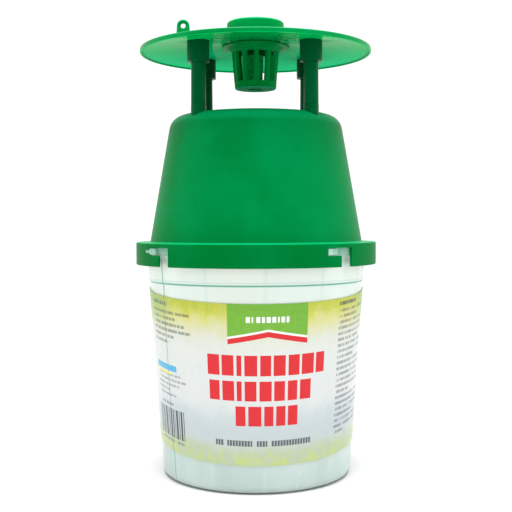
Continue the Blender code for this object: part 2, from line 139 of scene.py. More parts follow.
# Rain cover.
COVER_RADIUS = high("rain_cover").x
COVER_LIP_BOTTOM = 265.4
COVER_PEAK = 272.9
COVER_SLOPE = 0.0925
COVER_SHEET = 2.0
COVER_LIP = 1.6
COVER_HOLE = 15.6
SOCKET_RADIUS = 6.7
SOCKET_BORE = 4.65
SOCKET_BOTTOM = low("rain_cover").z
EYE_PLACE = (42.3, 39.0)
EYE_RADIUS = 3.75
EYE_HEIGHT = high("rain_cover").z - EYE_RADIUS
EYE_THICKNESS = 2.2
EYE_HOLE_RADIUS = 1.5
EYE_RECESS_RADIUS = 2.5
EYE_RECESS_DEPTH = 0.4

# Lure cage, cap and lure.
CAGE_BOTTOM = low("lure_cage").z
NECK_TOP = high("lure_cage").z
FLANGE_RADIUS = high("lure_cage").x
CAGE_FOOT_RADIUS = 13.1
CAGE_HEAD_RADIUS = 14.9
CAGE_WALL = 2.0
CAGE_FLOOR = 1.8
CAGE_HOLE_RADIUS = 2.2
CAGE_RECESS_RADIUS = 4.6
CAGE_RECESS_DEPTH = 0.6
CAGE_SLOTS = 11
CAGE_RIB_ANGLE = 3.9
CAGE_SLOT_REACH = (9.0, 16.5)
CAGE_SLOT_WIDTHS = (1.3, 7.3)
CAGE_SLOT_BOTTOM = 247.8
CAGE_SLOT_TOP = 266.4
COLLAR_RADIUS = 17.8
COLLAR_BOTTOM = 266.8
FLANGE_TOP = 270.6
FLANGE_THICKNESS = 1.2
NECK_RADIUS = 15.2
NECK_WALL = 1.4
CAP_RADIUS = high("lure_cage_cap").x
CAP_BOTTOM = low("lure_cage_cap").z
CAP_TOP = high("lure_cage_cap").z
CAP_ROOF = 1.8
CAP_WALL = 1.4
CAP_DISH = 13.6
CAP_DISH_DEPTH = 0.25
LURE_RADIUS = high("pheromone_lure").x
LURE_BOTTOM = low("pheromone_lure").z
LURE_TOP = high("pheromone_lure").z
LURE_WALL = 1.6

# Bayonet: angles of the slots' open legs, and of arms, notches and lugs measured from a leg.
SLOT_ANGLES = (-135.0, -45.0, 45.0, 135.0)
SNAP_SLOTS = (-45.0, 135.0)
LEG_WIDTH = 6.8
ARM_REACH = 11.4
NOTCH_REACH = 15.6
LOCK_TURN = 8.4
LUG_WIDTH = 5.2
NIB_REACH = 15.4
ARM_BOTTOM = 139.5
ARM_TOP = 144.2
NOTCH_HEIGHT = 2.6
LUG_CLEARANCE = 0.2
SNAP_MIDDLE = (ARM_BOTTOM + ARM_TOP) / 2
# Heights on the rim's skirt where lugs and nibs start and end.
SKIRT_HEIGHTS = (FLARE_TOP + 0.6, ARM_BOTTOM + LUG_CLEARANCE + 0.25, SNAP_MIDDLE - 0.95,
                 SNAP_MIDDLE + 0.95, ARM_TOP - LUG_CLEARANCE - 0.25, ARM_TOP - LUG_CLEARANCE)

LARGE_STEPS = 180
SMALL_STEPS = 96
ROD_STEPS = 48
FILLET_STEPS = 5
SHARP_ANGLE = math.radians(38)


# Shape tools.

def rounded(corners, steps=FILLET_STEPS):
    """Points of an outline, in metres, through (x, y, fillet) corners in millimetres."""
    points = []
    for index, (x, y, fillet) in enumerate(corners):
        here = Vector((x, y))
        if fillet == 0.0:
            points.append(here * MM)
            continue
        before = (Vector(corners[index - 1][:2]) - here).normalized()
        after = (Vector(corners[(index + 1) % len(corners)][:2]) - here).normalized()
        half = before.angle(after) / 2
        centre = here + (before + after).normalized() * fillet / math.sin(half)
        start = here + before * fillet / math.tan(half) - centre
        end = here + after * fillet / math.tan(half) - centre
        first = math.atan2(start.y, start.x)
        sweep = (math.atan2(end.y, end.x) - first + math.pi) % math.tau - math.pi
        for step in range(steps + 1):
            angle = first + sweep * step / steps
            points.append((centre + Vector((math.cos(angle), math.sin(angle))) * fillet) * MM)
    return [(point.x, point.y) for point in points]


def around(angle, radius, height=0.0):
    """The point at an angle from the front, at a radius and a height in the same unit."""
    turn = math.radians(angle)
    return Vector((radius * math.sin(turn), -radius * math.cos(turn), height))


def stations(steps, extra=()):
    """Angles round the axis: equal steps, less the ones that crowd an extra angle."""
    extra = sorted({round(angle % 360.0, 4) for angle in extra})
    pitch = 360.0 / steps
    spread = [index * pitch for index in range(steps)]
    kept = [angle for angle in spread
            if all(abs((angle - other + 180.0) % 360.0 - 180.0) > 0.3 * pitch for other in extra)]
    return sorted(kept + extra)


def new_piece(name, bm, material=None):
    """Put a bmesh into the scene, smooth with its hard edges kept sharp."""
    bmesh.ops.recalc_face_normals(bm, faces=bm.faces)
    mesh = bpy.data.meshes.new(name)
    bm.to_mesh(mesh)
    bm.free()
    mesh.shade_smooth()
    mesh.set_sharp_from_angle(angle=SHARP_ANGLE)
    piece = bpy.data.objects.new(name, mesh)
    if material:
        mesh.materials.append(material)
    bpy.context.scene.collection.objects.link(piece)
    return piece


def turned(name, corners, steps, material=None, fillet_steps=FILLET_STEPS, push=None, extra=()):
    """Turn an outline of (radius, height, fillet) corners round Z, in steps and extra angles.

    An outline that starts on the axis ends on it, another is a closed loop. With no fillet
    steps its corners stay plain. push, if given, returns the radius to use for an angle, and
    a radius and a height in metres.
    """
    plain = [(x * MM, y * MM) for x, y, _ in corners]
    outline = rounded(corners, fillet_steps) if fillet_steps else plain
    bm = bmesh.new()
    on_axis = outline[0][0] == 0.0
    poles = {}
    if on_axis:
        poles = {index: bm.verts.new((0.0, 0.0, outline[index][1])) for index in (0, len(outline) - 1)}
    rings = []
    for angle in stations(steps, extra):
        ring = []
        for index, (radius, height) in enumerate(outline):
            if index in poles:
                ring.append(poles[index])
                continue
            pushed = push(angle, radius, height) if push else radius
            ring.append(bm.verts.new(around(angle, pushed, height)))
        rings.append(ring)
    last = len(outline) - 1 if on_axis else len(outline)
    for index, ring in enumerate(rings):
        following = rings[(index + 1) % len(rings)]
        for here in range(last):
            there = (here + 1) % len(outline)
            face = (ring[here], ring[there], following[there], following[here])
            bm.faces.new(list(dict.fromkeys(face)))
    return new_piece(name, bm, material)


def loft(name, sections):
    """A solid through a row of outlines with equal numbers of points, closed at both ends."""
    bm = bmesh.new()
    rings = [[bm.verts.new(point) for point in section] for section in sections]
    for lower, upper in zip(rings, rings[1:]):
        for index in range(len(lower)):
            after = (index + 1) % len(lower)
            bm.faces.new((lower[index], lower[after], upper[after], upper[index]))
    bm.faces.new(rings[0])
    bm.faces.new(rings[-1])
    return new_piece(name, bm)


def joined(pieces):
    """One object from several that don't touch, to be used as a single tool."""
    bpy.context.view_layer.update()
    bm = bmesh.new()
    for piece in pieces:
        piece.data.transform(piece.matrix_world)
        bm.from_mesh(piece.data)
        bpy.data.objects.remove(piece, do_unlink=True)
    return new_piece("tool", bm)


def combine(piece, tools, operation):
    """Join or cut a piece with tools that don't touch each other, and remove them."""
    tool = joined(tools)
    modifier = piece.modifiers.new(operation.lower(), "BOOLEAN")
    modifier.operation = operation
    modifier.solver = "EXACT"
    modifier.object = tool
    evaluated = piece.evaluated_get(bpy.context.evaluated_depsgraph_get())
    mesh = bpy.data.meshes.new_from_object(evaluated)
    piece.modifiers.clear()
    piece.data = mesh
    bpy.data.objects.remove(tool, do_unlink=True)
    mesh.shade_smooth()
    mesh.set_sharp_from_angle(angle=SHARP_ANGLE)


def soften(piece, width):
    """Break the sharp edges that a cut leaves, by a small bevel on them."""
    bevel = piece.modifiers.new("edges", "BEVEL")
    bevel.width = width * MM
    bevel.segments = 2
    bevel.limit_method = "ANGLE"
    bevel.angle_limit = math.radians(50)


def settle(piece, body, slot, *nodes):
    """Let a piece ride on a body and stand for its CAD nodes. Its slot is not used."""
    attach(piece, body)
    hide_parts(*nodes)


# Materials. Colours are linear.

# The clear plastic is darker at its foot than at its top: painted shade.
CLEAR_LOW = (0.515, 0.62, 0.59)
CLEAR_HIGH = (0.86, 0.90, 0.82)
CLEAR_HAZE = (0.74, 0.86, 0.82)
CLEAR_STREAK = (0.62, 0.80, 0.76)
CLEAR_SHADE = (0.58, 0.76, 0.66)
CLEAR_LINE = (0.10, 0.40, 0.29)
# Green painted on the rim inside the band: a painted reflection of the green band.
CLEAR_GREEN_REFLECTION = (0.21, 0.46, 0.33)
# Angle of a dark line at one rib, on the bucket and on the film: a painted rib shadow.
RIB_SHADOW_ANGLE = -54.3
FLOOR_NEAR = (0.56, 0.56, 0.56)
FLOOR_FAR = (0.94, 0.94, 0.94)
FLOOR_PALEST = (0.97, 0.97, 0.97)
# Paler green painted on faces that look up: painted light from above.
PAINTED_TOP_LIGHT = (0.0, 0.255, 0.080)
# Paler, bluer green that the cover's underside drifts to towards its back: a painted reflection.
UNDERSIDE_BACK_REFLECTION = (0.0, 0.520, 0.190)
# Colour, lit colour, roughness, specular level and specular tint of each green, then what
# moulded() takes after them. Several greens are lit or shaded copies of one plastic: painted light and
# shade.
GREENS = {
    "green_plastic": ((0.0, 0.132, 0.026), (0.0, 0.162, 0.039), 0.38, 0.03, (0.0, 1.0, 0.9), PAINTED_TOP_LIGHT),
    # The band: a darker copy of the hat's green, as painted shade.
    "band_painted_shade": ((0.0, 0.120, 0.019), (0.0, 0.144, 0.030), 0.40, 0.02, (0.0, 1.0, 0.9)),
    "cover_plastic": ((0.0, 0.175, 0.034), (0.0, 0.212, 0.050), 0.24, 0.12, (0.1, 1.0, 0.8)),
    # The underside: a bright green painted as light glowing through the sheet and as reflection.
    "cover_underside": ((0.0, 0.400, 0.070), (0.0, 0.450, 0.090), 0.06, 0.004, (0.5, 1.0, 0.8),
                        None, UNDERSIDE_BACK_REFLECTION, 0.25),
    # Posts and bosses: a deep green whose darkness is painted shade from the cover above.
    "deep_green_plastic": ((0.0, 0.058, 0.012), (0.0, 0.076, 0.018), 0.30, 0.12, (0.0, 0.9, 0.5)),
    # Sockets: a darker copy of the green, as painted shade under the cover.
    "socket_painted_shade": ((0.0, 0.048, 0.013), (0.0, 0.062, 0.017), 0.32, 0.12, (0.0, 0.9, 0.5)),
    # Under the cage's floor: a bright green, as painted light from below.
    "cage_base_painted_light": ((0.016, 0.560, 0.240), (0.020, 0.620, 0.280), 0.25, 0.0003, (0.5, 1.0, 0.8)),
    "cage_plastic": ((0.0, 0.195, 0.034), (0.0, 0.235, 0.046), 0.30, 0.01, (0.0, 0.9, 0.5)),
    # The cap: a paler copy of the hat's green, as painted light.
    "cap_painted_light": ((0.0, 0.178, 0.036), (0.0, 0.212, 0.050), 0.38, 0.02, (0.0, 1.0, 0.9), PAINTED_TOP_LIGHT),
}


class Look:
    """A material's node tree, with short calls for the nodes that the looks are built from."""

    def __init__(self, name):
        self.material = bpy.data.materials.new(name)
        self.material.use_nodes = True
        self.tree = self.material.node_tree
        self.shader = self.tree.nodes["Principled BSDF"]
        self.place = self.tree.nodes.new("ShaderNodeTexCoord").outputs["Object"]

    def put(self, value, socket):
        """Link an output to a socket, or set a plain value on it."""
        if isinstance(value, bpy.types.NodeSocket):
            self.tree.links.new(value, socket)
        elif hasattr(value, "__len__") and len(value) == 3 and socket.type == "RGBA":
            socket.default_value = (*value, 1.0)
        else:
            socket.default_value = value

    def node(self, kind, inputs=None, **settings):
        made = self.tree.nodes.new("ShaderNode" + kind)
        for key, value in settings.items():
            setattr(made, key, value)
        for key, value in (inputs or {}).items():
            self.put(value, made.inputs[key])
        return made

    def math(self, operation, first, second=0.0):
        return self.node("Math", {0: first, 1: second}, operation=operation).outputs[0]

    def product(self, *values):
        result = values[0]
        for value in values[1:]:
            result = self.math("MULTIPLY", result, value)
        return result

    def apart(self, value, other):
        """How far a value is from another."""
        return self.math("ABSOLUTE", self.math("SUBTRACT", value, other))

    def parts(self, vector):
        """The three parts of a vector."""
        return self.node("SeparateXYZ", {0: vector}).outputs

    def mix(self, share, first, second):
        """Colour first where share is 0 and second where it is 1."""
        made = self.node("Mix", {0: share}, data_type="RGBA")
        self.put(first, made.inputs[6])
        self.put(second, made.inputs[7])
        return made.outputs[2]

    def ranged(self, value, start, end, low_value, high_value, smooth=False):
        """Map value from start..end to low_value..high_value, held at the ends."""
        made = self.node("MapRange", {0: value, 1: start, 2: end, 3: low_value, 4: high_value})
        made.interpolation_type = "SMOOTHSTEP" if smooth else "LINEAR"
        return made.outputs[0]

    def stretched(self, scale, vector=None):
        """Coordinates scaled along X, Y and Z."""
        made = self.node("Mapping", {"Vector": vector or self.place, "Scale": scale})
        return made.outputs[0]

    def noise(self, scale, detail=2.0, roughness=0.5, vector=None, distortion=0.0):
        made = self.node("TexNoise", {"Vector": vector or self.place, "Scale": scale,
                                      "Detail": detail, "Roughness": roughness,
                                      "Distortion": distortion})
        return made.outputs["Fac"]

    def bump(self, height, strength, distance, normal=None):
        made = self.node("Bump", {"Height": height, "Strength": strength, "Distance": distance})
        if normal:
            self.put(normal, made.inputs["Normal"])
        return made.outputs["Normal"]

    def finish(self, colour, roughness, normal, levels):
        """Give the shader its colour, roughness and bumps, and plain values on other sockets."""
        looks = {"Base Color": colour, "Roughness": roughness, "Normal": normal, **levels}
        for socket, value in looks.items():
            self.put(value, self.shader.inputs[socket])
        return self.material


def scratches(look, scale):
    """0 to 1, mostly 0: a few fine handling marks that run in all directions."""
    warped = look.stretched((1.0, 1.0, 0.22))
    marks = look.noise(scale, 6.0, 0.7, warped, 0.8)
    return look.ranged(marks, 0.62, 0.74, 0.0, 1.0)


def moulded_colour(look, colour, lit, share, marks, top_light_colour, away):
    """Two close greens in soft drifts, and a paler one on worn edges, partly a painted edge highlight, and
    in scratches.
    """
    surface = look.node("NewGeometry")
    body = look.mix(share, colour, lit)
    # Painted reflection: towards its back the piece drifts to the given colour.
    if away:
        depth = look.parts(look.place)[1]
        body = look.mix(look.ranged(depth, -0.045, 0.045, 0.0, 1.0, True), body, away)
    # Painted light: faces that look up turn towards a paler green, as if lit from above.
    if top_light_colour:
        facing = look.parts(surface.outputs["Normal"])[2]
        body = look.mix(look.ranged(facing, 0.18, 0.80, 0.0, 1.0, True), body, top_light_colour)
    pale_wear_and_edge_light = (lit[0], 1.35 * lit[1] + 0.02, 1.6 * lit[2] + 0.02)
    # Paler on sharp edges: wear, and partly a painted edge highlight.
    wear_and_edge_light = look.ranged(surface.outputs["Pointiness"], 0.52, 0.60, 0.0, 0.35)
    body = look.mix(wear_and_edge_light, body, pale_wear_and_edge_light)
    return look.mix(look.product(marks, 0.12), body, pale_wear_and_edge_light)


def moulded(name, colour, lit, roughness, specular, tint, top_light_colour=None, away=None, relief=1.0):
    """Injection-moulded plastic: soft colour drift, flow lines, a fine skin, worn edges that are partly a
    painted edge highlight.

    The colour given for up-facing faces, if any, is painted on the faces that look up: painted
    light from above. away is the colour that the piece drifts to towards its back, if it does: a
    painted reflection. relief scales the bumps, and is small on a polished face.
    """
    look = Look(name)
    drift = look.noise(34.0, 3.0, 0.55)
    flow = look.noise(26.0, 2.0, 0.5, look.stretched((1.0, 1.0, 0.12)), 0.3)
    blend = look.math("ADD", look.product(drift, 0.5), look.product(flow, 0.5))
    share = look.ranged(blend, 0.36, 0.64, 0.0, 1.0, True)
    marks = scratches(look, 95.0)
    body = moulded_colour(look, colour, lit, share, marks, top_light_colour, away)
    rough = look.ranged(drift, 0.3, 0.7, roughness - 0.035, roughness + 0.035)
    rough = look.math("ADD", rough, look.product(marks, 0.14))
    waves = look.bump(flow, 0.25 * relief, 0.0004)
    normal = look.bump(look.noise(1500.0, 2.0, 0.6), 0.10 * relief, 0.00006, waves)
    levels = {"Specular IOR Level": specular, "Specular Tint": tint, "IOR": 1.49}
    return look.finish(body, rough, normal, levels)


def clear_lines(look, body):
    """The bucket's ribs and its step, inside and out, as thin cool lines: painted shade along the ribs, a
    darker painted rib shadow at one rib, and painted shade lines along the step.
    """
    across, depth, up = look.parts(look.place)
    turn = look.math("DEGREES", look.math("ARCTAN2", across, look.product(depth, -1.0)))
    level = look.math("DIVIDE", up, MM)
    pitch = 360.0 / RIB_COUNT
    cycle = look.math("DIVIDE", look.math("SUBTRACT", turn, RIB_OFFSET - pitch / 2), pitch)
    from_rib = look.product(look.apart(look.math("FRACT", cycle), 0.5), pitch)
    body = look.mix(look.ranged(from_rib, 0.7, 1.5, 0.30, 0.0, True), body, CLEAR_SHADE)
    # A darker line at one rib: a painted rib shadow.
    from_rib_shadow = look.apart(turn, RIB_SHADOW_ANGLE)
    body = look.mix(look.ranged(from_rib_shadow, 0.25, 0.7, 0.75, 0.0, True), body, CLEAR_LINE)
    # Dark lines along the step: painted shade.
    for height, strength in ((STEP_HEIGHT + STEP_DEPTH / 2, 0.95), (STEP_HEIGHT + 1.9, 0.16)):
        from_step = look.apart(level, height)
        body = look.mix(look.ranged(from_step, 0.30, 0.75, strength, 0.0, True), body, CLEAR_LINE)
    return body


def clear_colour(look, haze, streaks):
    """Cool and milky, darker towards the foot as painted shade, and green where the band stands before it,
    as a painted reflection of the band.
    """
    level = look.math("DIVIDE", look.parts(look.place)[2], MM)
    # Darker towards the foot: painted shade.
    paler = look.ranged(level, 8.0, 118.0, 0.0, 0.64, True)
    body = look.mix(paler, CLEAR_LOW, CLEAR_HIGH)
    palest = look.ranged(level, 118.0, 134.0, 0.0, 1.0, True)
    body = look.mix(palest, body, CLEAR_HIGH)
    body = look.mix(look.ranged(haze, 0.35, 0.65, 0.0, 0.35, True), body, CLEAR_HAZE)
    body = look.mix(look.ranged(streaks, 0.45, 0.75, 0.0, 0.22), body, CLEAR_STREAK)
    # Green on the rim inside the band: a painted reflection of the band.
    rim = look.ranged(level, BAND_BOTTOM - 1.0, RIM_TOP - 1.5, 0.0, 1.0, True)
    return look.mix(rim, body, CLEAR_GREEN_REFLECTION)


def clear_plastic():
    """Milky clear polypropylene, streaked along its flow and a little scratched."""
    look = Look("milky_clear_plastic")
    haze = look.noise(22.0, 3.0, 0.5, look.stretched((1.0, 1.0, 0.25)))
    streaks = look.noise(70.0, 2.0, 0.5, look.stretched((1.0, 1.0, 0.05)), 0.2)
    body = clear_lines(look, clear_colour(look, haze, streaks))
    rough = look.ranged(haze, 0.3, 0.7, 0.17, 0.25)
    rough = look.math("ADD", rough, look.product(scratches(look, 120.0), 0.12))
    waves = look.bump(streaks, 0.3, 0.0003)
    normal = look.bump(look.noise(1300.0, 2.0, 0.6), 0.06, 0.00005, waves)
    levels = {"Specular IOR Level": 0.06, "IOR": 1.45, "Transmission Weight": 0.22}
    return look.finish(body, rough, normal, levels)


# Label artwork. Across is in degrees from the artwork's middle line, up is in millimetres.

ART_CENTRE = 6.85
PENNANT_LEFT, PENNANT_RIGHT = -20.6, 20.5
PENNANT_SIDE, PENNANT_POINT = 93.2, 97.7
WHITE_STRIPE = 1.3
RED_STRIPE = 3.1
# Bottom, top and left end of each row of the title, and the widths of its bars.
TITLE_ROWS = (
    (70.6, 82.6, -31.8, (6.3, 6.3, 2.6, 6.6, 5.4, 6.3, 5.9, 6.9, 5.1)),
    (55.9, 67.5, -31.1, (5.6, 6.3, 2.6, 6.1, 6.3, 5.6, 5.4, 6.3)),
    (41.2, 52.8, -17.1, (5.2, 6.9, 4.9, 4.9, 5.3)),
)
TITLE_GAP = 1.45
PENNANT_BARS = (2.1, 0.8, 0.01, 2.0, 1.5, 2.1, 2.0, 1.0, 1.9, 1.5)
RED = (0.52, 0.015, 0.020)
PENNANT_GREEN = (0.118, 0.315, 0.024)
PENNANT_LIGHT = (0.150, 0.350, 0.036)
BRIGHT_WHITE = (0.64, 0.67, 0.64)
INK = (0.040, 0.048, 0.052)
CAPTION_INK = (0.09, 0.10, 0.11)
# Grey of vertical streaks on the film: painted reflections.
REFLECTION_STREAK_GREY = (0.35, 0.45, 0.42)
FILM_GREEN = (0.20, 0.36, 0.07)
FILM_YELLOW = (0.42, 0.49, 0.14)
# Colour of the painted rib shadow on the film.
RIB_SHADOW_GREY = (0.12, 0.26, 0.22)
MARK_BLUE = (0.06, 0.33, 0.52)
MARK_YELLOW = (0.60, 0.55, 0.10)
# Ground colours of the film, from its foot to its top edge: print, darker towards the foot partly as painted
# shade.
FILM_GROUND = (
    (15.0, (0.359, 0.424, 0.291)),
    (24.0, (0.359, 0.417, 0.325)),
    (30.0, (0.400, 0.455, 0.445)),
    (36.0, (0.400, 0.446, 0.467)),
    (45.0, (0.423, 0.475, 0.494)),
    (53.0, (0.516, 0.536, 0.532)),
    (66.0, (0.522, 0.546, 0.537)),
    (84.0, (0.528, 0.553, 0.522)),
    (91.0, (0.522, 0.544, 0.473)),
    (97.0, (0.516, 0.520, 0.322)),
    (103.0, (0.513, 0.508, 0.168)),
    (108.0, (0.460, 0.451, 0.037)),
    (113.0, (0.395, 0.426, 0.022)),
)
# Small print, in degrees across and millimetres up: right ends of its rows, from the lowest up.
PRINT_LEFT = -75.5
UPPER_PRINT = (-59.5, -54.2, -41.3, -45.2, -52.5, -41.3)
LOWER_PRINT = (-55.0, -60.0, -52.0, -46.5, -50.0)
RIGHT_PRINT = (52.0, 70.0, 70.0, 62.0, 70.0, 70.0, 70.0, 55.0, 70.0, 70.0, 66.0, 70.0,
               70.0, 58.0, 70.0, 70.0, 64.0, 70.0, 70.0, 70.0, 60.0, 70.0)
RIGHT_PRINT_LEFT = 41.3
# Left end, height of the lowest row, pitch, right ends, letter height, seed and strength.
PRINT_BLOCKS = (
    (PRINT_LEFT, 108.0, 4.0, (-59.0,), 2.2, 1.0, 0.80),
    (PRINT_LEFT, 85.0, 3.62, UPPER_PRINT, 1.8, 2.0, 0.58),
    (PRINT_LEFT + 1.5, 52.5, 3.1, LOWER_PRINT, 1.4, 7.0, 0.50),
    (PRINT_LEFT + 4.0, 46.8, 3.0, (-58.0,), 1.5, 8.0, 0.55),
    (PRINT_LEFT + 1.5, 24.0, 3.0, (-49.5,), 1.6, 9.0, 0.50),
    (RIGHT_PRINT_LEFT, 109.2, 4.0, (58.0,), 2.2, 3.0, 0.80),
    (RIGHT_PRINT_LEFT, 31.0, 3.52, RIGHT_PRINT, 1.8, 11.0, 0.56),
)
# The plain stripe block: its right end and the widths of its bars.
STRIPES_RIGHT = -48.7
STRIPE_WIDTHS = (0.6, 1.3, 0.6, 1.1, 0.6, 1.8, 0.6, 0.7, 1.4, 1.0, 0.6, 1.8, 0.7, 1.5, 0.6)


class Artwork(Look):
    """The printed film: washes of colour, a pennant, and plain shapes where a print has words."""

    def __init__(self, name):
        super().__init__(name)
        self.across, self.up, _ = self.parts(self.node("UVMap", uv_map="art").outputs[0])

    def between(self, value, start, end):
        """1 where value lies between start and end."""
        made = self.node("Math", {0: value, 1: (start + end) / 2, 2: abs(end - start) / 2},
                         operation="COMPARE")
        return made.outputs[0]

    def bars(self, start, end, widths, gap):
        """1 on a row of bars of the given widths, which are parted by gaps, from start to end."""
        ramp = self.node("ValToRGB", {0: self.ranged(self.across, start, end, 0.0, 1.0)})
        ramp.color_ramp.interpolation = "CONSTANT"
        stops = ramp.color_ramp.elements
        stops[0].color = (1.0, 1.0, 1.0, 1.0)
        stops.remove(stops[1])
        at = start
        for width in widths:
            for edge, shade in ((at, 1.0), (at + width, 0.0)):
                position = (edge - start) / (end - start)
                if position > 0.0:
                    stops.new(position).color = (shade, shade, shade, 1.0)
            at += width + gap
        return ramp.outputs[0]

    def ramp(self, value, stops, interpolation="CONSTANT"):
        """A colour, or a number as a grey, by a value from 0 to 1 and (position, colour) stops."""
        made = self.node("ValToRGB", {0: value})
        made.color_ramp.interpolation = interpolation
        elements = made.color_ramp.elements
        elements.remove(elements[1])
        for index, (position, colour) in enumerate(stops):
            element = elements[0] if index == 0 else elements.new(position)
            element.position = position
            shades = colour if hasattr(colour, "__len__") else (colour,) * 3
            element.color = (*shades, 1.0)
        return made.outputs[0]

    def print_rows(self, left, first, pitch, ends, height, seed):
        """0 to 1 on rows of letter-like ticks, from a left end to each row's own right end."""
        place = self.math("DIVIDE", self.math("SUBTRACT", self.up, first), pitch)
        row = self.math("FLOOR", self.math("ADD", place, 0.5))
        off = self.apart(place, row)
        widest = max(ends) - left
        stops = [(index / len(ends), (end - left) / widest) for index, end in enumerate(ends)]
        share = self.ramp(self.math("DIVIDE", self.math("ADD", row, 0.5), len(ends)), stops)
        reach = self.math("ADD", self.product(share, widest), left)
        letter = self.math("FLOOR", self.product(self.across, 1.35))
        spot = self.node("CombineXYZ", {0: letter, 1: row, 2: seed}).outputs[0]
        chance = self.node("TexWhiteNoise", {"Vector": spot}, noise_dimensions="3D").outputs[0]
        inked = self.ranged(chance, 0.06, 0.40, 0.0, 1.0)
        return self.product(inked, self.math("LESS_THAN", off, height / pitch / 2),
                         self.math("LESS_THAN", self.across, reach),
                         self.math("GREATER_THAN", self.across, left),
                         self.between(row, -0.5, len(ends) - 0.5))

    def box(self, left, right, bottom, top):
        """1 inside a rectangle."""
        return self.product(self.between(self.across, left, right), self.between(self.up, bottom, top))


def film_ground(art):
    """The film's ground: washes of colour that wander a little and darken towards the foot, partly as
    painted shade, grey streaks as painted reflections, and a painted rib shadow.
    """
    spot = art.node("CombineXYZ", {0: art.product(art.across, 1.1), 1: art.product(art.up, 0.6),
                                   2: 1.7}).outputs[0]
    blots = art.noise(0.13, 5.0, 0.60, spot, 0.4)
    level = art.math("ADD", art.up, art.product(art.math("SUBTRACT", blots, 0.5), 15.0))
    bottom, top = FILM_GROUND[0][0], FILM_GROUND[-1][0]
    stops = [((height - bottom) / (top - bottom), colour) for height, colour in FILM_GROUND]
    # Darker towards the foot: print, partly painted shade.
    base = art.ramp(art.ranged(level, bottom, top, 0.0, 1.0), stops, "LINEAR")
    patches = art.noise(0.30, 4.0, 0.65, spot, 0.6)
    near_top = art.ranged(art.up, 98.0, 112.0, 0.0, 0.7, True)
    base = art.mix(art.product(near_top, art.ranged(patches, 0.35, 0.65, 0.0, 0.6)), base, FILM_GREEN)
    near_foot = art.ranged(art.up, 33.0, 19.0, 0.0, 0.85, True)
    base = art.mix(art.product(near_foot, art.ranged(patches, 0.40, 0.62, 0.0, 1.0)), base, FILM_YELLOW)
    away = art.math("ABSOLUTE", art.across)
    corner = art.product(art.ranged(away, 50.0, 76.0, 0.0, 1.0, True),
                      art.ranged(art.up, 86.0, 110.0, 0.0, 0.85, True))
    base = art.mix(corner, base, FILM_GREEN)
    # Grey vertical streaks: painted reflections.
    column = art.node("CombineXYZ", {0: art.across, 1: 0.0, 2: 6.0}).outputs[0]
    streaks = art.noise(0.24, 3.0, 0.6, column)
    base = art.mix(art.ranged(streaks, 0.40, 0.70, 0.0, 0.10), base, REFLECTION_STREAK_GREY)
    # The painted rib shadow on the film.
    from_rib_shadow = art.apart(art.across, RIB_SHADOW_ANGLE - ART_CENTRE)
    return art.mix(art.ranged(from_rib_shadow, 0.25, 0.7, 0.62, 0.0, True), base, RIB_SHADOW_GREY)


def film_pennant(art, base):
    """The green pennant with white bars, and the white and red chevrons under it."""
    slope = (PENNANT_POINT - PENNANT_SIDE) / PENNANT_RIGHT
    away = art.math("ABSOLUTE", art.across)
    edge = art.math("SUBTRACT", PENNANT_POINT, art.product(away, slope))
    above = art.math("SUBTRACT", art.up, edge)
    column = art.between(art.across, PENNANT_LEFT, PENNANT_RIGHT)
    spot = art.node("CombineXYZ", {0: art.across, 1: art.up, 2: 0.0}).outputs[0]
    grain = art.noise(0.35, 4.0, 0.6, spot)
    green = art.mix(art.ranged(grain, 0.3, 0.7, 0.0, 1.0), PENNANT_GREEN, PENNANT_LIGHT)
    base = art.mix(art.product(column, art.math("GREATER_THAN", above, 0.0)), base, green)
    base = art.mix(art.product(column, art.between(above, -WHITE_STRIPE, 0.0)), base, BRIGHT_WHITE)
    red = art.product(column, art.between(above, -WHITE_STRIPE - RED_STRIPE, -WHITE_STRIPE))
    base = art.mix(red, base, RED)
    reach = 11.2
    bars = art.bars(-reach, reach, PENNANT_BARS, 0.75)
    return art.mix(art.product(bars, art.box(-reach, reach, 101.6, 105.0)), base, BRIGHT_WHITE)


def film_rows(art, base):
    """Rows of red bars in place of a title, and a row of grey ticks under them."""
    for bottom, top, left, widths in TITLE_ROWS:
        right = left + sum(widths) + TITLE_GAP * len(widths)
        bars = art.bars(left, right, widths, TITLE_GAP)
        base = art.mix(art.product(bars, art.box(left, right, bottom, top)), base, RED)
    left, right = -28.5, 27.0
    caption = art.bars(left, right, (4.2, 13.6, 5.6, 22.8), 2.3)
    ticks = art.math("GREATER_THAN", art.math("FRACT", art.product(art.across, 0.62)), 0.22)
    return art.mix(art.product(caption, ticks, art.box(left, right, 29.2, 32.6)), base, CAPTION_INK)


def film_print(art, base):
    """Small print at both sides, plain bars in place of a mark, and a plain stripe block."""
    for *block, strength in PRINT_BLOCKS:
        base = art.mix(art.product(art.print_rows(*block), strength), base, INK)
    base = art.mix(art.box(-75.0, -53.5, 67.3, 71.0), base, MARK_BLUE)
    base = art.mix(art.box(-75.0, -58.0, 65.0, 66.2), base, MARK_YELLOW)
    stripes = art.bars(PRINT_LEFT, STRIPES_RIGHT, STRIPE_WIDTHS, 0.8)
    block = art.product(stripes, art.box(PRINT_LEFT, STRIPES_RIGHT, 26.2, 44.0))
    return art.mix(art.product(block, 0.95), base, INK)


def printed_film():
    """Satin film over the artwork, with soft creases."""
    art = Artwork("printed_film")
    base = film_print(art, film_rows(art, film_pennant(art, film_ground(art))))
    rough = art.ranged(art.noise(420.0, 3.0, 0.6), 0.3, 0.7, 0.26, 0.36)
    creases = art.noise(38.0, 2.0, 0.5, art.stretched((1.0, 1.0, 0.15)))
    levels = {"Specular IOR Level": 0.25, "IOR": 1.5}
    return art.finish(base, rough, art.bump(creases, 0.25, 0.0004), levels)


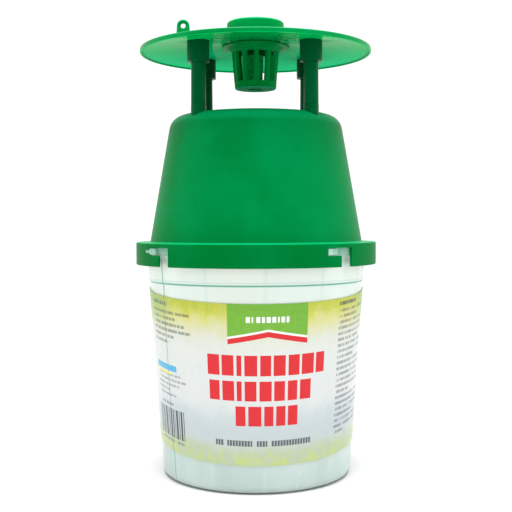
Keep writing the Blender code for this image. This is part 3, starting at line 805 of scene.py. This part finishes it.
def septum_rubber():
    """Matt green rubber, grainy and a little dusty, its greens brightened as painted light for a lure in the
    cage's shade.
    """
    look = Look("septum_rubber")
    grains = look.noise(900.0, 4.0, 0.7)
    dust = look.ranged(look.noise(160.0, 4.0, 0.6), 0.4, 0.65, 0.0, 1.0, True)
    # Greens brighter than the rubber's own: painted light.
    body = look.mix(dust, (0.003, 0.270, 0.060), (0.005, 0.320, 0.075))
    rough = look.ranged(grains, 0.3, 0.7, 0.62, 0.82)
    return look.finish(body, rough, look.bump(grains, 0.3, 0.0001), {"Specular IOR Level": 0.02})


def pale_floor():
    """A matt floor, greyer under the trap so that it throws less light up."""
    look = Look("pale_floor")
    tone = look.noise(3.0, 2.0, 0.5)
    away = look.node("VectorMath", {0: look.place}, operation="LENGTH").outputs["Value"]
    body = look.mix(look.ranged(away, 0.35, 2.2, 0.0, 1.0), FLOOR_NEAR, FLOOR_FAR)
    body = look.mix(look.ranged(tone, 0.3, 0.7, 0.0, 0.04), body, FLOOR_PALEST)
    look.put(body, look.shader.inputs["Base Color"])
    look.put(look.ranged(tone, 0.3, 0.7, 0.75, 0.85), look.shader.inputs["Roughness"])
    look.shader.inputs["Specular IOR Level"].default_value = 0.1
    return look.material


# Bucket and label.

def wall(height):
    """Outer radius of the bucket's tapered wall, without its step."""
    return BUCKET_FOOT + BUCKET_SLOPE * height


def bucket_corners():
    """The bucket's section, from the axis under the base, up outside, and down inside."""

    def outer(height):
        return wall(height) + STEP_DEPTH

    def inner(height):
        return outer(height) - BUCKET_WALL

    base = [(0.0, 0.35, 0.0), (1.5, 0.35, 0.2), (GATE_RADIUS, BASE_RISE, 0.2),
            (BASE_RING[0], BASE_RISE, 0.2), (BASE_RING[0] + 0.4, 0.45, 0.15),
            (BASE_RING[1] - 0.4, 0.45, 0.15), (BASE_RING[1], BASE_RISE, 0.2),
            (FOOT_RING - 0.8, BASE_RISE, 0.4), (FOOT_RING, 0.0, 0.4), (BUCKET_FOOT, 0.0, FOOT_FILLET)]
    outside = [(wall(STEP_HEIGHT), STEP_HEIGHT, 0.25), (outer(STEP_HEIGHT), STEP_HEIGHT + STEP_DEPTH, 0.2),
               (outer(FLARE_TOP), FLARE_TOP, 4.0), (RIM_RADIUS, FLARE_TOP, 0.35)]
    skirt = [(RIM_RADIUS, height, 0.0) for height in SKIRT_HEIGHTS]
    rim = [(RIM_RADIUS, RIM_TOP, 0.5), (RIM_RADIUS - RIM_WALL, RIM_TOP, 0.5),
           (RIM_RADIUS - RIM_WALL, RIM_ROOT, 0.4), (inner(RIM_ROOT), RIM_ROOT, 3.4)]
    inside = [(inner(RIB_HEAD), RIB_HEAD, 0.0), (inner(RIB_HEAD - 1.5), RIB_HEAD - 1.5, 0.0),
              (inner(STEP_HEIGHT + 1.6), STEP_HEIGHT + 1.6, 0.2),
              (wall(STEP_HEIGHT + 1.1) - BUCKET_WALL, STEP_HEIGHT + 1.1, 0.25),
              (wall(RIB_FOOT + 2.0) - BUCKET_WALL, RIB_FOOT + 2.0, 0.0),
              (wall(RIB_FOOT + 0.4) - BUCKET_WALL, RIB_FOOT + 0.4, 0.0),
              (wall(FLOOR_TOP) - BUCKET_WALL, FLOOR_TOP, 3.4), (0.0, FLOOR_TOP, 0.0)]
    return base + outside + skirt + rim + inside


def rib_share(angle):
    """How proud a rib stands at an angle, from 0 between the ribs to 1 on a crest."""
    pitch = 360.0 / RIB_COUNT
    offset = (angle - RIB_OFFSET + pitch / 2) % pitch - pitch / 2
    for (start, low_share), (end, high_share) in zip(RIB_PROFILE, RIB_PROFILE[1:]):
        if start <= offset <= end:
            return low_share + (high_share - low_share) * (offset - start) / (end - start)
    return 0.0


def lug_half_height(angle):
    """Half height of the lug at an angle, in millimetres, or 0 where there is none."""
    for slot_angle in SLOT_ANGLES:
        offset = (angle - slot_angle + 180.0) % 360.0 - 180.0
        if abs(offset + LOCK_TURN) <= LUG_WIDTH / 2 + 0.001:
            return (ARM_TOP - ARM_BOTTOM) / 2 - LUG_CLEARANCE
        if slot_angle in SNAP_SLOTS and -NIB_REACH - 0.001 <= offset < -LOCK_TURN:
            return NOTCH_HEIGHT / 2 - LUG_CLEARANCE
    return 0.0


def bucket_push(angle, radius, height):
    """Ribs on the inner wall and lugs on the rim's skirt."""
    level = height / MM
    if RIB_FOOT + 1.0 < level < RIB_HEAD - 1.0 and radius / MM < wall(level) + STEP_DEPTH - 0.9:
        return radius - rib_share(angle) * RIB_DEPTH * MM
    if radius / MM > RIM_RADIUS - 0.01 and abs(level - SNAP_MIDDLE) < lug_half_height(angle) - 0.1:
        return LUG_RADIUS * MM
    return radius


def make_bucket(material):
    """The bucket, with extra columns where ribs, lugs and nibs start and end."""
    extra = []
    for index in range(RIB_COUNT):
        extra += [RIB_OFFSET + index * 360.0 / RIB_COUNT + offset for offset, _ in RIB_PROFILE]
    for angle in SLOT_ANGLES:
        lead, trail = angle - LOCK_TURN - LUG_WIDTH / 2, angle - LOCK_TURN + LUG_WIDTH / 2
        extra += [lead - 0.2, lead, trail, trail + 0.2]
        if angle in SNAP_SLOTS:
            extra += [angle - NIB_REACH - 0.3, angle - NIB_REACH]
    bucket = turned("bucket_shell", bucket_corners(), LARGE_STEPS, material, push=bucket_push, extra=extra)
    settle(bucket, "bucket", "clear_plastic", "collecting_bucket")


def label_edge(height, climb, offset):
    """Height of an edge of the film at an angle from its middle: it climbs towards the ends."""
    return height + wall(height) * climb * math.radians(offset) ** 2 / 2


def make_label(material):
    """The film, in fine columns, with an art map: degrees across and millimetres up its cut."""
    bm = bmesh.new()
    layer = bm.loops.layers.uv.new("art")
    shares = [row / LABEL_ROWS for row in range(LABEL_ROWS + 1)]
    path = [(share, LABEL_SKIN) for share in shares]
    path += [(share, LABEL_UNDER) for share in reversed(shares)]
    marks = {}
    grid = []
    for column in range(LABEL_COLUMNS + 1):
        offset = LABEL_HALF_TURN * (2 * column / LABEL_COLUMNS - 1)
        angle = LABEL_CENTRE + offset
        bottom = label_edge(LABEL_BOTTOM, LABEL_BOTTOM_CLIMB, offset)
        top = label_edge(LABEL_TOP, LABEL_TOP_CLIMB, offset)
        ring = []
        for share, lift in path:
            level = bottom + (top - bottom) * share
            vert = bm.verts.new(around(angle, wall(level) + lift, level) * MM)
            marks[vert] = (angle - ART_CENTRE, LABEL_BOTTOM + (LABEL_TOP - LABEL_BOTTOM) * share)
            ring.append(vert)
        grid.append(ring)
    for ring, following in zip(grid, grid[1:]):
        for here in range(len(ring)):
            there = (here + 1) % len(ring)
            bm.faces.new((ring[here], ring[there], following[there], following[here]))
    for ring in (grid[0], grid[-1]):
        for row in range(LABEL_ROWS):
            bm.faces.new((ring[row], ring[row + 1], ring[-row - 2], ring[-row - 1]))
    for face in bm.faces:
        for corner in face.loops:
            corner[layer].uv = marks[corner.vert]
    label = new_piece("label_wrap", bm, material)
    settle(label, "bucket", "label_film", "bucket_label")


# Funnel hat, cone and posts.

def hat_radius(height):
    """Outer radius of the hat's tapered wall."""
    return HAT_TOP_RADIUS + HAT_SLOPE * (HAT_TOP - height)


def hat_corners():
    """The hat's section: band, tapered wall, shoulder and mouth shelf, then back down inside."""
    skin = SHELL_WALL * math.hypot(1.0, HAT_SLOPE)
    under_plate = BAND_TOP - SHELL_WALL
    shelf_top = HAT_TOP - CONE_LIP - GAP
    shelf_bottom = shelf_top - SHELL_WALL
    shelf_inner = MOUTH_RADIUS - MOUTH_SHELF
    ceiling = HAT_TOP - SHELL_WALL
    band_inner = BAND_RADIUS - SHELL_WALL
    return [(band_inner, BAND_BOTTOM, 0.35), (BAND_RADIUS, BAND_BOTTOM, 0.35),
            (BAND_RADIUS, BAND_TOP, 0.8), (hat_radius(BAND_TOP), BAND_TOP, 0.9),
            (hat_radius(HAT_TOP), HAT_TOP, SHOULDER_RADIUS), (MOUTH_RADIUS, HAT_TOP, 0.3),
            (MOUTH_RADIUS, shelf_top, 0.15), (shelf_inner, shelf_top, 0.3),
            (shelf_inner, shelf_bottom, 0.3), (MOUTH_RADIUS + 1.2, shelf_bottom, 0.3),
            (MOUTH_RADIUS + 1.6, ceiling, 0.3),
            (hat_radius(ceiling) - skin, ceiling, SHOULDER_RADIUS - SHELL_WALL),
            (hat_radius(under_plate) - skin, under_plate, 0.5), (band_inner, under_plate, 0.6)]


def slot_cutter(angle):
    """The L-shaped bayonet slot with eased corners: an open leg, an arm and on two a notch."""
    half = LEG_WIDTH / 2
    below = BAND_BOTTOM - 2.0
    reach = NOTCH_HEIGHT / 2
    end = angle - ARM_REACH
    tip = angle - NOTCH_REACH
    outline = [(angle - half, below, 0.0), (angle + half, below, 0.0), (angle + half, ARM_TOP, 0.5),
               (end, ARM_TOP, 0.5)]
    if angle in SNAP_SLOTS:
        outline += [(end, SNAP_MIDDLE + reach, 0.3), (tip, SNAP_MIDDLE + reach / 2, 0.4),
                    (tip, SNAP_MIDDLE - reach, 0.4), (end, SNAP_MIDDLE - reach, 0.3)]
    outline += [(end, ARM_BOTTOM, 0.5), (angle - half, ARM_BOTTOM, 0.6)]
    arc_length = math.radians(1.0) * BAND_RADIUS
    flat = rounded([(x * arc_length, y, fillet) for x, y, fillet in outline], 3)
    sections = []
    for radius in (BAND_RADIUS - 2 * SHELL_WALL, BAND_RADIUS + SHELL_WALL):
        sections.append([around(x / MM / arc_length, radius * MM, y) for x, y in flat])
    return loft("slot", sections)


def post_boss(angle):
    """A short boss on the shoulder that holds a post's foot."""
    top = POST_BOTTOM - GAP
    corners = [(0.0, BOSS_ROOT, 0.0), (BOSS_RADIUS, BOSS_ROOT, 0.0), (BOSS_RADIUS, top, 0.15),
               (0.0, top, 0.0)]
    boss = turned("boss", corners, ROD_STEPS, fillet_steps=3)
    boss.location = around(angle, POST_CIRCLE * MM)
    return boss


def bore(radius, bottom, top, angle):
    """A plain hole for a post, between two heights."""
    corners = [(0.0, bottom, 0.0), (radius, bottom, 0.0), (radius, top, 0.0), (0.0, top, 0.0)]
    hole = turned("bore", corners, ROD_STEPS, fillet_steps=0)
    hole.location = around(angle, POST_CIRCLE) * MM
    return hole


def hat_zone(centre, normal):
    """Material slot of a face of the hat: 0 for the wall, 1 for the band, in a darker green as painted
    shade, 2 for a post's boss, in the deep green darkened as painted shade.
    """
    place = Vector((centre.x, centre.y)) / MM
    upright_face = abs(normal.z) < 0.5
    for angle in POST_ANGLES.values():
        near = (place - around(angle, POST_CIRCLE).to_2d()).length < BOSS_RADIUS + 0.05
        if near and centre.z > BOSS_ROOT * MM and (upright_face or centre.z > (HAT_TOP + 0.1) * MM):
            return 2
    return 1 if centre.z < BAND_TOP * MM and upright_face else 0


def make_hat(material, band, bosses):
    """The hat: its turned shell, four bosses with their bores, and four bayonet slots."""
    hat = turned("hat_shell", hat_corners(), LARGE_STEPS, material, 8)
    combine(hat, [post_boss(angle) for angle in POST_ANGLES.values()], "UNION")
    cutters = [slot_cutter(angle) for angle in SLOT_ANGLES]
    for angle in POST_ANGLES.values():
        cutters.append(bore(SPIGOT_RADIUS + GAP, SPIGOT_BOTTOM - GAP, POST_BOTTOM + 2.0, angle))
    combine(hat, cutters, "DIFFERENCE")
    # The band and the bosses take darker greens than the wall, as painted shade.
    for other in (band, bosses):
        hat.data.materials.append(other)
    for face in hat.data.polygons:
        face.material_index = hat_zone(face.center, face.normal)
    soften(hat, 0.18)
    settle(hat, "hat", "green_plastic", "funnel_hat")


def make_cone(material):
    """The funnel: a lip on the mouth's shelf, a rolled entry, a steep cone and a short spout."""
    neck = MOUTH_RADIUS - MOUTH_SHELF - GAP
    outer = THROAT_RADIUS + SHELL_WALL
    lip_bottom = CONE_TOP - CONE_LIP
    corners = [(CONE_LIP_RADIUS, lip_bottom, 0.2), (neck, lip_bottom, 0.1),
               (neck, lip_bottom - CONE_LIP, 0.3), (outer, THROAT_TOP, 3.0),
               (outer - CONE_DRAFT, CONE_BOTTOM, 0.4), (THROAT_RADIUS - CONE_DRAFT, CONE_BOTTOM, 0.4),
               (THROAT_RADIUS, THROAT_TOP + CONE_DRAFT, 3.0), (neck - 0.4, CONE_TOP, 3.0),
               (CONE_LIP_RADIUS, CONE_TOP, 0.25)]
    cone = turned("cone_funnel", corners, LARGE_STEPS, material, 7)
    settle(cone, "hat", "green_plastic", "funnel_cone")


def make_posts(material):
    """Four posts: a spigot, a foot that stands on the boss, and a slightly slimmer head."""
    foot = POST_BOTTOM - 0.22
    corners = [(0.0, SPIGOT_BOTTOM, 0.0), (SPIGOT_RADIUS, SPIGOT_BOTTOM, 0.4), (SPIGOT_RADIUS, foot, 0.1),
               (POST_FOOT_RADIUS, foot, 0.12), (POST_HEAD_RADIUS, POST_TOP, 0.6), (0.0, POST_TOP, 0.0)]
    for side, angle in POST_ANGLES.items():
        post = turned(f"post_{side}", corners, ROD_STEPS, material)
        post.data.transform(Matrix.Translation(around(angle, POST_CIRCLE) * MM))
        settle(post, "hat", "deep_green_plastic", f"cover_post_{side}")


# Rain cover.

def underside(radius):
    """Height of the cover's shallow conical underside."""
    return COVER_PEAK - COVER_SLOPE * radius


def cover_corners():
    """The cover's section: a shallow cone with a lip under its rim."""
    inner = COVER_RADIUS - COVER_LIP
    return [(COVER_HOLE, underside(COVER_HOLE), 0.25), (inner, underside(inner), 0.4),
            (inner + 0.3, COVER_LIP_BOTTOM, 0.35), (COVER_RADIUS, COVER_LIP_BOTTOM, 0.5),
            (COVER_RADIUS, underside(COVER_RADIUS) + COVER_SHEET, 0.7),
            (COVER_HOLE, underside(COVER_HOLE) + COVER_SHEET, 0.3)]


def post_socket(angle):
    """A socket under the cover, flared where it meets the sheet."""
    root = underside(POST_CIRCLE) + 1.0
    corners = [(0.0, SOCKET_BOTTOM, 0.0), (SOCKET_RADIUS, SOCKET_BOTTOM, 0.4),
               (SOCKET_RADIUS, root - 1.6, 1.0), (SOCKET_RADIUS + 1.2, root, 0.0), (0.0, root, 0.0)]
    socket = turned("socket", corners, ROD_STEPS)
    socket.location = around(angle, POST_CIRCLE * MM)
    return socket


def upright_disc(radius, place, near, far):
    """A disc standing in an eye's middle, between two offsets along Y."""
    steps = 24
    sections = []
    for offset in (near, far):
        section = []
        for step in range(steps):
            turn = math.tau * step / steps
            spot = Vector((place[0] + radius * math.cos(turn), place[1] + offset,
                           EYE_HEIGHT + radius * math.sin(turn)))
            section.append(spot * MM)
        sections.append(section)
    return loft("disc", sections)


def hanging_eye(place):
    """An upright tab with a rounded head and eased edges, which faces front and back."""
    steps = 20
    root = underside(math.hypot(*place)) + 0.7
    half = EYE_THICKNESS / 2
    ease = 0.35
    sections = []
    for offset, shrink in ((-half, ease), (-half + ease, 0.0), (half - ease, 0.0), (half, ease)):
        radius = EYE_RADIUS - shrink
        outline = [(place[0] - radius - 0.4, root), (place[0] + radius + 0.4, root)]
        for step in range(steps + 1):
            turn = math.pi * step / steps
            outline.append((place[0] + radius * math.cos(turn), EYE_HEIGHT + radius * math.sin(turn)))
        sections.append([Vector((x, place[1] + offset, z)) * MM for x, z in outline])
    return loft("eye", sections)


def cover_zone(centre, normal):
    """Material slot of a face of the cover: 0 for the top, 1 for the underside, in a bright green painted as
    glow and reflection, 2 for a socket, in a darker green painted as shade.
    """
    place = Vector((centre.x, centre.y)) / MM
    ceiling = underside(place.length)
    for angle in POST_ANGLES.values():
        in_socket = (place - around(angle, POST_CIRCLE).to_2d()).length < SOCKET_RADIUS + 0.3
        if in_socket and centre.z / MM < ceiling - 0.2:
            return 2
    return 1 if normal.z < -0.5 and centre.z / MM < ceiling + 0.3 else 0


def make_cover(top, below, sockets):
    """The cover: its turned roof, four sockets with their bores, and two eyes with recesses."""
    cover = turned("cover_roof", cover_corners(), LARGE_STEPS, top)
    places = [(side * EYE_PLACE[0], side * EYE_PLACE[1]) for side in (-1, 1)]
    parts = [post_socket(angle) for angle in POST_ANGLES.values()] + [hanging_eye(place) for place in places]
    combine(cover, parts, "UNION")
    half = EYE_THICKNESS / 2
    cutters = [upright_disc(EYE_HOLE_RADIUS, place, -half - 1.0, half + 1.0) for place in places]
    for angle in POST_ANGLES.values():
        cutters.append(bore(SOCKET_BORE, SOCKET_BOTTOM - 1.0, POST_TOP + POST_HEAD_GAP, angle))
    combine(cover, cutters, "DIFFERENCE")
    recesses = []
    for place in places:
        for near in (-half - 1.0, half - EYE_RECESS_DEPTH):
            recesses.append(upright_disc(EYE_RECESS_RADIUS, place, near, near + 1.0 + EYE_RECESS_DEPTH))
    combine(cover, recesses, "DIFFERENCE")
    # The underside takes a bright green painted as glow and reflection, and the sockets a dark one painted
    # as shade.
    for material in (below, sockets):
        cover.data.materials.append(material)
    for face in cover.data.polygons:
        face.material_index = cover_zone(face.center, face.normal)
    soften(cover, 0.15)
    settle(cover, "cover", "green_plastic", "rain_cover")


# Lure cage, cap and lure.

def cage_corners():
    """The cage's section: recessed floor, tapered body, collar, flange and neck, then inside."""
    floor = CAGE_BOTTOM + CAGE_FLOOR
    recess = CAGE_BOTTOM + CAGE_RECESS_DEPTH
    under = FLANGE_TOP - FLANGE_THICKNESS
    neck_inner = NECK_RADIUS - NECK_WALL
    return [(CAGE_HOLE_RADIUS, floor, 0.2), (CAGE_HOLE_RADIUS, recess, 0.2),
            (CAGE_RECESS_RADIUS - 0.3, recess, 0.25), (CAGE_RECESS_RADIUS, CAGE_BOTTOM, 0.25),
            (CAGE_FOOT_RADIUS, CAGE_BOTTOM, 1.0), (CAGE_HEAD_RADIUS, COLLAR_BOTTOM, 1.2),
            (COLLAR_RADIUS, under, 0.4), (FLANGE_RADIUS, under, 0.45), (FLANGE_RADIUS, FLANGE_TOP, 0.45),
            (NECK_RADIUS, FLANGE_TOP, 0.3), (NECK_RADIUS, NECK_TOP, 0.3), (neck_inner, NECK_TOP, 0.3),
            (neck_inner, FLANGE_TOP, 0.5), (CAGE_HEAD_RADIUS - CAGE_WALL, COLLAR_BOTTOM, 0.5),
            (CAGE_FOOT_RADIUS - CAGE_WALL, floor, 0.6)]


def cage_slot(angle):
    """A slot cutter across the cage's wall, narrower inside, with eased corners."""
    sideways = around(angle + 90.0, 1.0)
    sections = []
    for radius, width in zip(CAGE_SLOT_REACH, CAGE_SLOT_WIDTHS):
        half = width / 2
        outline = rounded([(-half, CAGE_SLOT_BOTTOM, 0.5), (half, CAGE_SLOT_BOTTOM, 0.5),
                           (half, CAGE_SLOT_TOP, 0.5), (-half, CAGE_SLOT_TOP, 0.5)], 4)
        middle = around(angle, radius * MM)
        sections.append([middle + sideways * x + Vector((0.0, 0.0, z)) for x, z in outline])
    return loft("cage_slot", sections)


def make_cage(material, base):
    """The cage: its turned wall, cut through by a ring of slots."""
    cage = turned("cage_basket", cage_corners(), SMALL_STEPS, material)
    pitch = 360.0 / CAGE_SLOTS
    slots = [cage_slot(CAGE_RIB_ANGLE + pitch * (index + 0.5)) for index in range(CAGE_SLOTS)]
    combine(cage, slots, "DIFFERENCE")
    # The underside of the floor takes a bright green, as painted light.
    cage.data.materials.append(base)
    for face in cage.data.polygons:
        at_base = face.center.z < (CAGE_BOTTOM + CAGE_RECESS_DEPTH + 0.1) * MM
        face.material_index = 1 if at_base and face.normal.z < -0.7 else 0
    soften(cage, 0.2)
    settle(cage, "cage", "deep_green_plastic", "lure_cage")


def make_cap(material):
    """The press-on cap: a shallow dish on top, a snap bead inside its mouth."""
    bead = NECK_RADIUS + GAP
    inner = CAP_RADIUS - CAP_WALL
    ceiling = CAP_TOP - CAP_ROOF
    dish = CAP_TOP - CAP_DISH_DEPTH
    corners = [(0.0, dish, 0.0), (CAP_DISH, dish, 0.3), (CAP_DISH + 0.8, CAP_TOP, 0.3),
               (CAP_RADIUS - 0.15, CAP_TOP, 1.7), (CAP_RADIUS, CAP_BOTTOM, 0.4),
               (bead + 0.3, CAP_BOTTOM, 0.3), (bead, CAP_BOTTOM + 0.9, 0.2), (bead, CAP_BOTTOM + 1.6, 0.2),
               (inner, CAP_BOTTOM + 2.8, 0.3), (inner, ceiling, 0.5), (0.0, ceiling, 0.0)]
    cap = turned("cap_lid", corners, SMALL_STEPS, material)
    settle(cap, "cap", "green_plastic", "lure_cage_cap")


def make_lure(material):
    """A sleeve-stopper septum that stands on the cage's floor, its thicker and hollow end up."""
    middle = (LURE_BOTTOM + LURE_TOP) / 2
    slim = LURE_RADIUS - 0.4
    hollow = LURE_RADIUS - LURE_WALL
    corners = [(0.0, LURE_BOTTOM, 0.0), (slim, LURE_BOTTOM, 0.8), (slim, middle - 0.4, 0.2),
               (LURE_RADIUS, middle + 0.2, 0.3), (LURE_RADIUS, LURE_TOP, 0.5), (hollow, LURE_TOP, 0.4),
               (hollow - 0.2, middle + 0.4, 0.8), (0.0, middle + 0.4, 0.0)]
    lure = turned("lure_septum", corners, ROD_STEPS, material)
    settle(lure, "lure", "lure_rubber", "pheromone_lure")


# Studio. Lengths are in metres.

CAMERA_DISTANCE = 0.5958
CAMERA_HEIGHT = 0.159
CAMERA_TURN = 0.85
CAMERA_DIP = 2.07
CAMERA_ROLL = 0.0033


def soft_box(name, place, target, size, power):
    """A rectangular area light that faces a target."""
    data = bpy.data.lights.new(name, "AREA")
    data.shape = "RECTANGLE"
    data.size, data.size_y = size
    data.energy = power
    lamp = bpy.data.objects.new(name, data)
    lamp.location = place
    lamp.rotation_euler = (Vector(target) - Vector(place)).to_track_quat("-Z", "Y").to_euler()
    bpy.context.scene.collection.objects.link(lamp)


def make_floor():
    """A round floor, far wider than the view."""
    bm = bmesh.new()
    bmesh.ops.create_circle(bm, cap_ends=True, segments=128, radius=6.0)
    mesh = bpy.data.meshes.new("studio_floor")
    bm.to_mesh(mesh)
    bm.free()
    mesh.materials.append(pale_floor())
    floor = bpy.data.objects.new("studio_floor", mesh)
    bpy.context.scene.collection.objects.link(floor)


def make_studio():
    """A white room, a large lamp above and two weak ones at the sides."""
    scene = bpy.context.scene
    world = bpy.data.worlds.new("studio")
    world.use_nodes = True
    background = world.node_tree.nodes["Background"]
    background.inputs["Color"].default_value = (1.0, 1.0, 1.0, 1.0)
    background.inputs["Strength"].default_value = 1.1
    scene.world = world
    scene.view_settings.view_transform = "Standard"
    middle = (0.0, 0.0, 0.15)
    soft_box("left_box", (-0.95, -0.30, 0.30), middle, (0.35, 0.9), 0.6)
    soft_box("right_box", (0.90, -0.35, 0.50), middle, (0.35, 0.9), 1.0)
    soft_box("top_box", (0.0, -0.12, 1.1), middle, (0.8, 0.8), 28.0)


def make_camera():
    """A camera close in front of the trap, level with its middle, a little to the right of it."""
    scene = bpy.context.scene
    data = bpy.data.cameras.new("camera")
    data.sensor_width = 36.0
    data.lens = 65.4
    data.clip_start = 0.01
    camera = bpy.data.objects.new("camera", data)
    turn = math.radians(CAMERA_TURN)
    camera.location = around(CAMERA_TURN, CAMERA_DISTANCE, CAMERA_HEIGHT)
    camera.rotation_euler = (math.radians(90.0 - CAMERA_DIP), CAMERA_ROLL, turn)
    scene.collection.objects.link(camera)
    scene.camera = camera


def build_looks():
    """Every piece of the trap, in its materials."""
    greens = {name: moulded(name, *values) for name, values in GREENS.items()}
    make_bucket(clear_plastic())
    make_label(printed_film())
    make_hat(greens["green_plastic"], greens["band_painted_shade"], greens["deep_green_plastic"])
    make_cone(greens["green_plastic"])
    make_posts(greens["deep_green_plastic"])
    make_cover(greens["cover_plastic"], greens["cover_underside"], greens["socket_painted_shade"])
    make_cage(greens["cage_plastic"], greens["cage_base_painted_light"])
    make_cap(greens["cap_painted_light"])
    make_lure(septum_rubber())


build_looks()
make_floor()
make_studio()
make_camera()

bpy.context.view_layer.update()
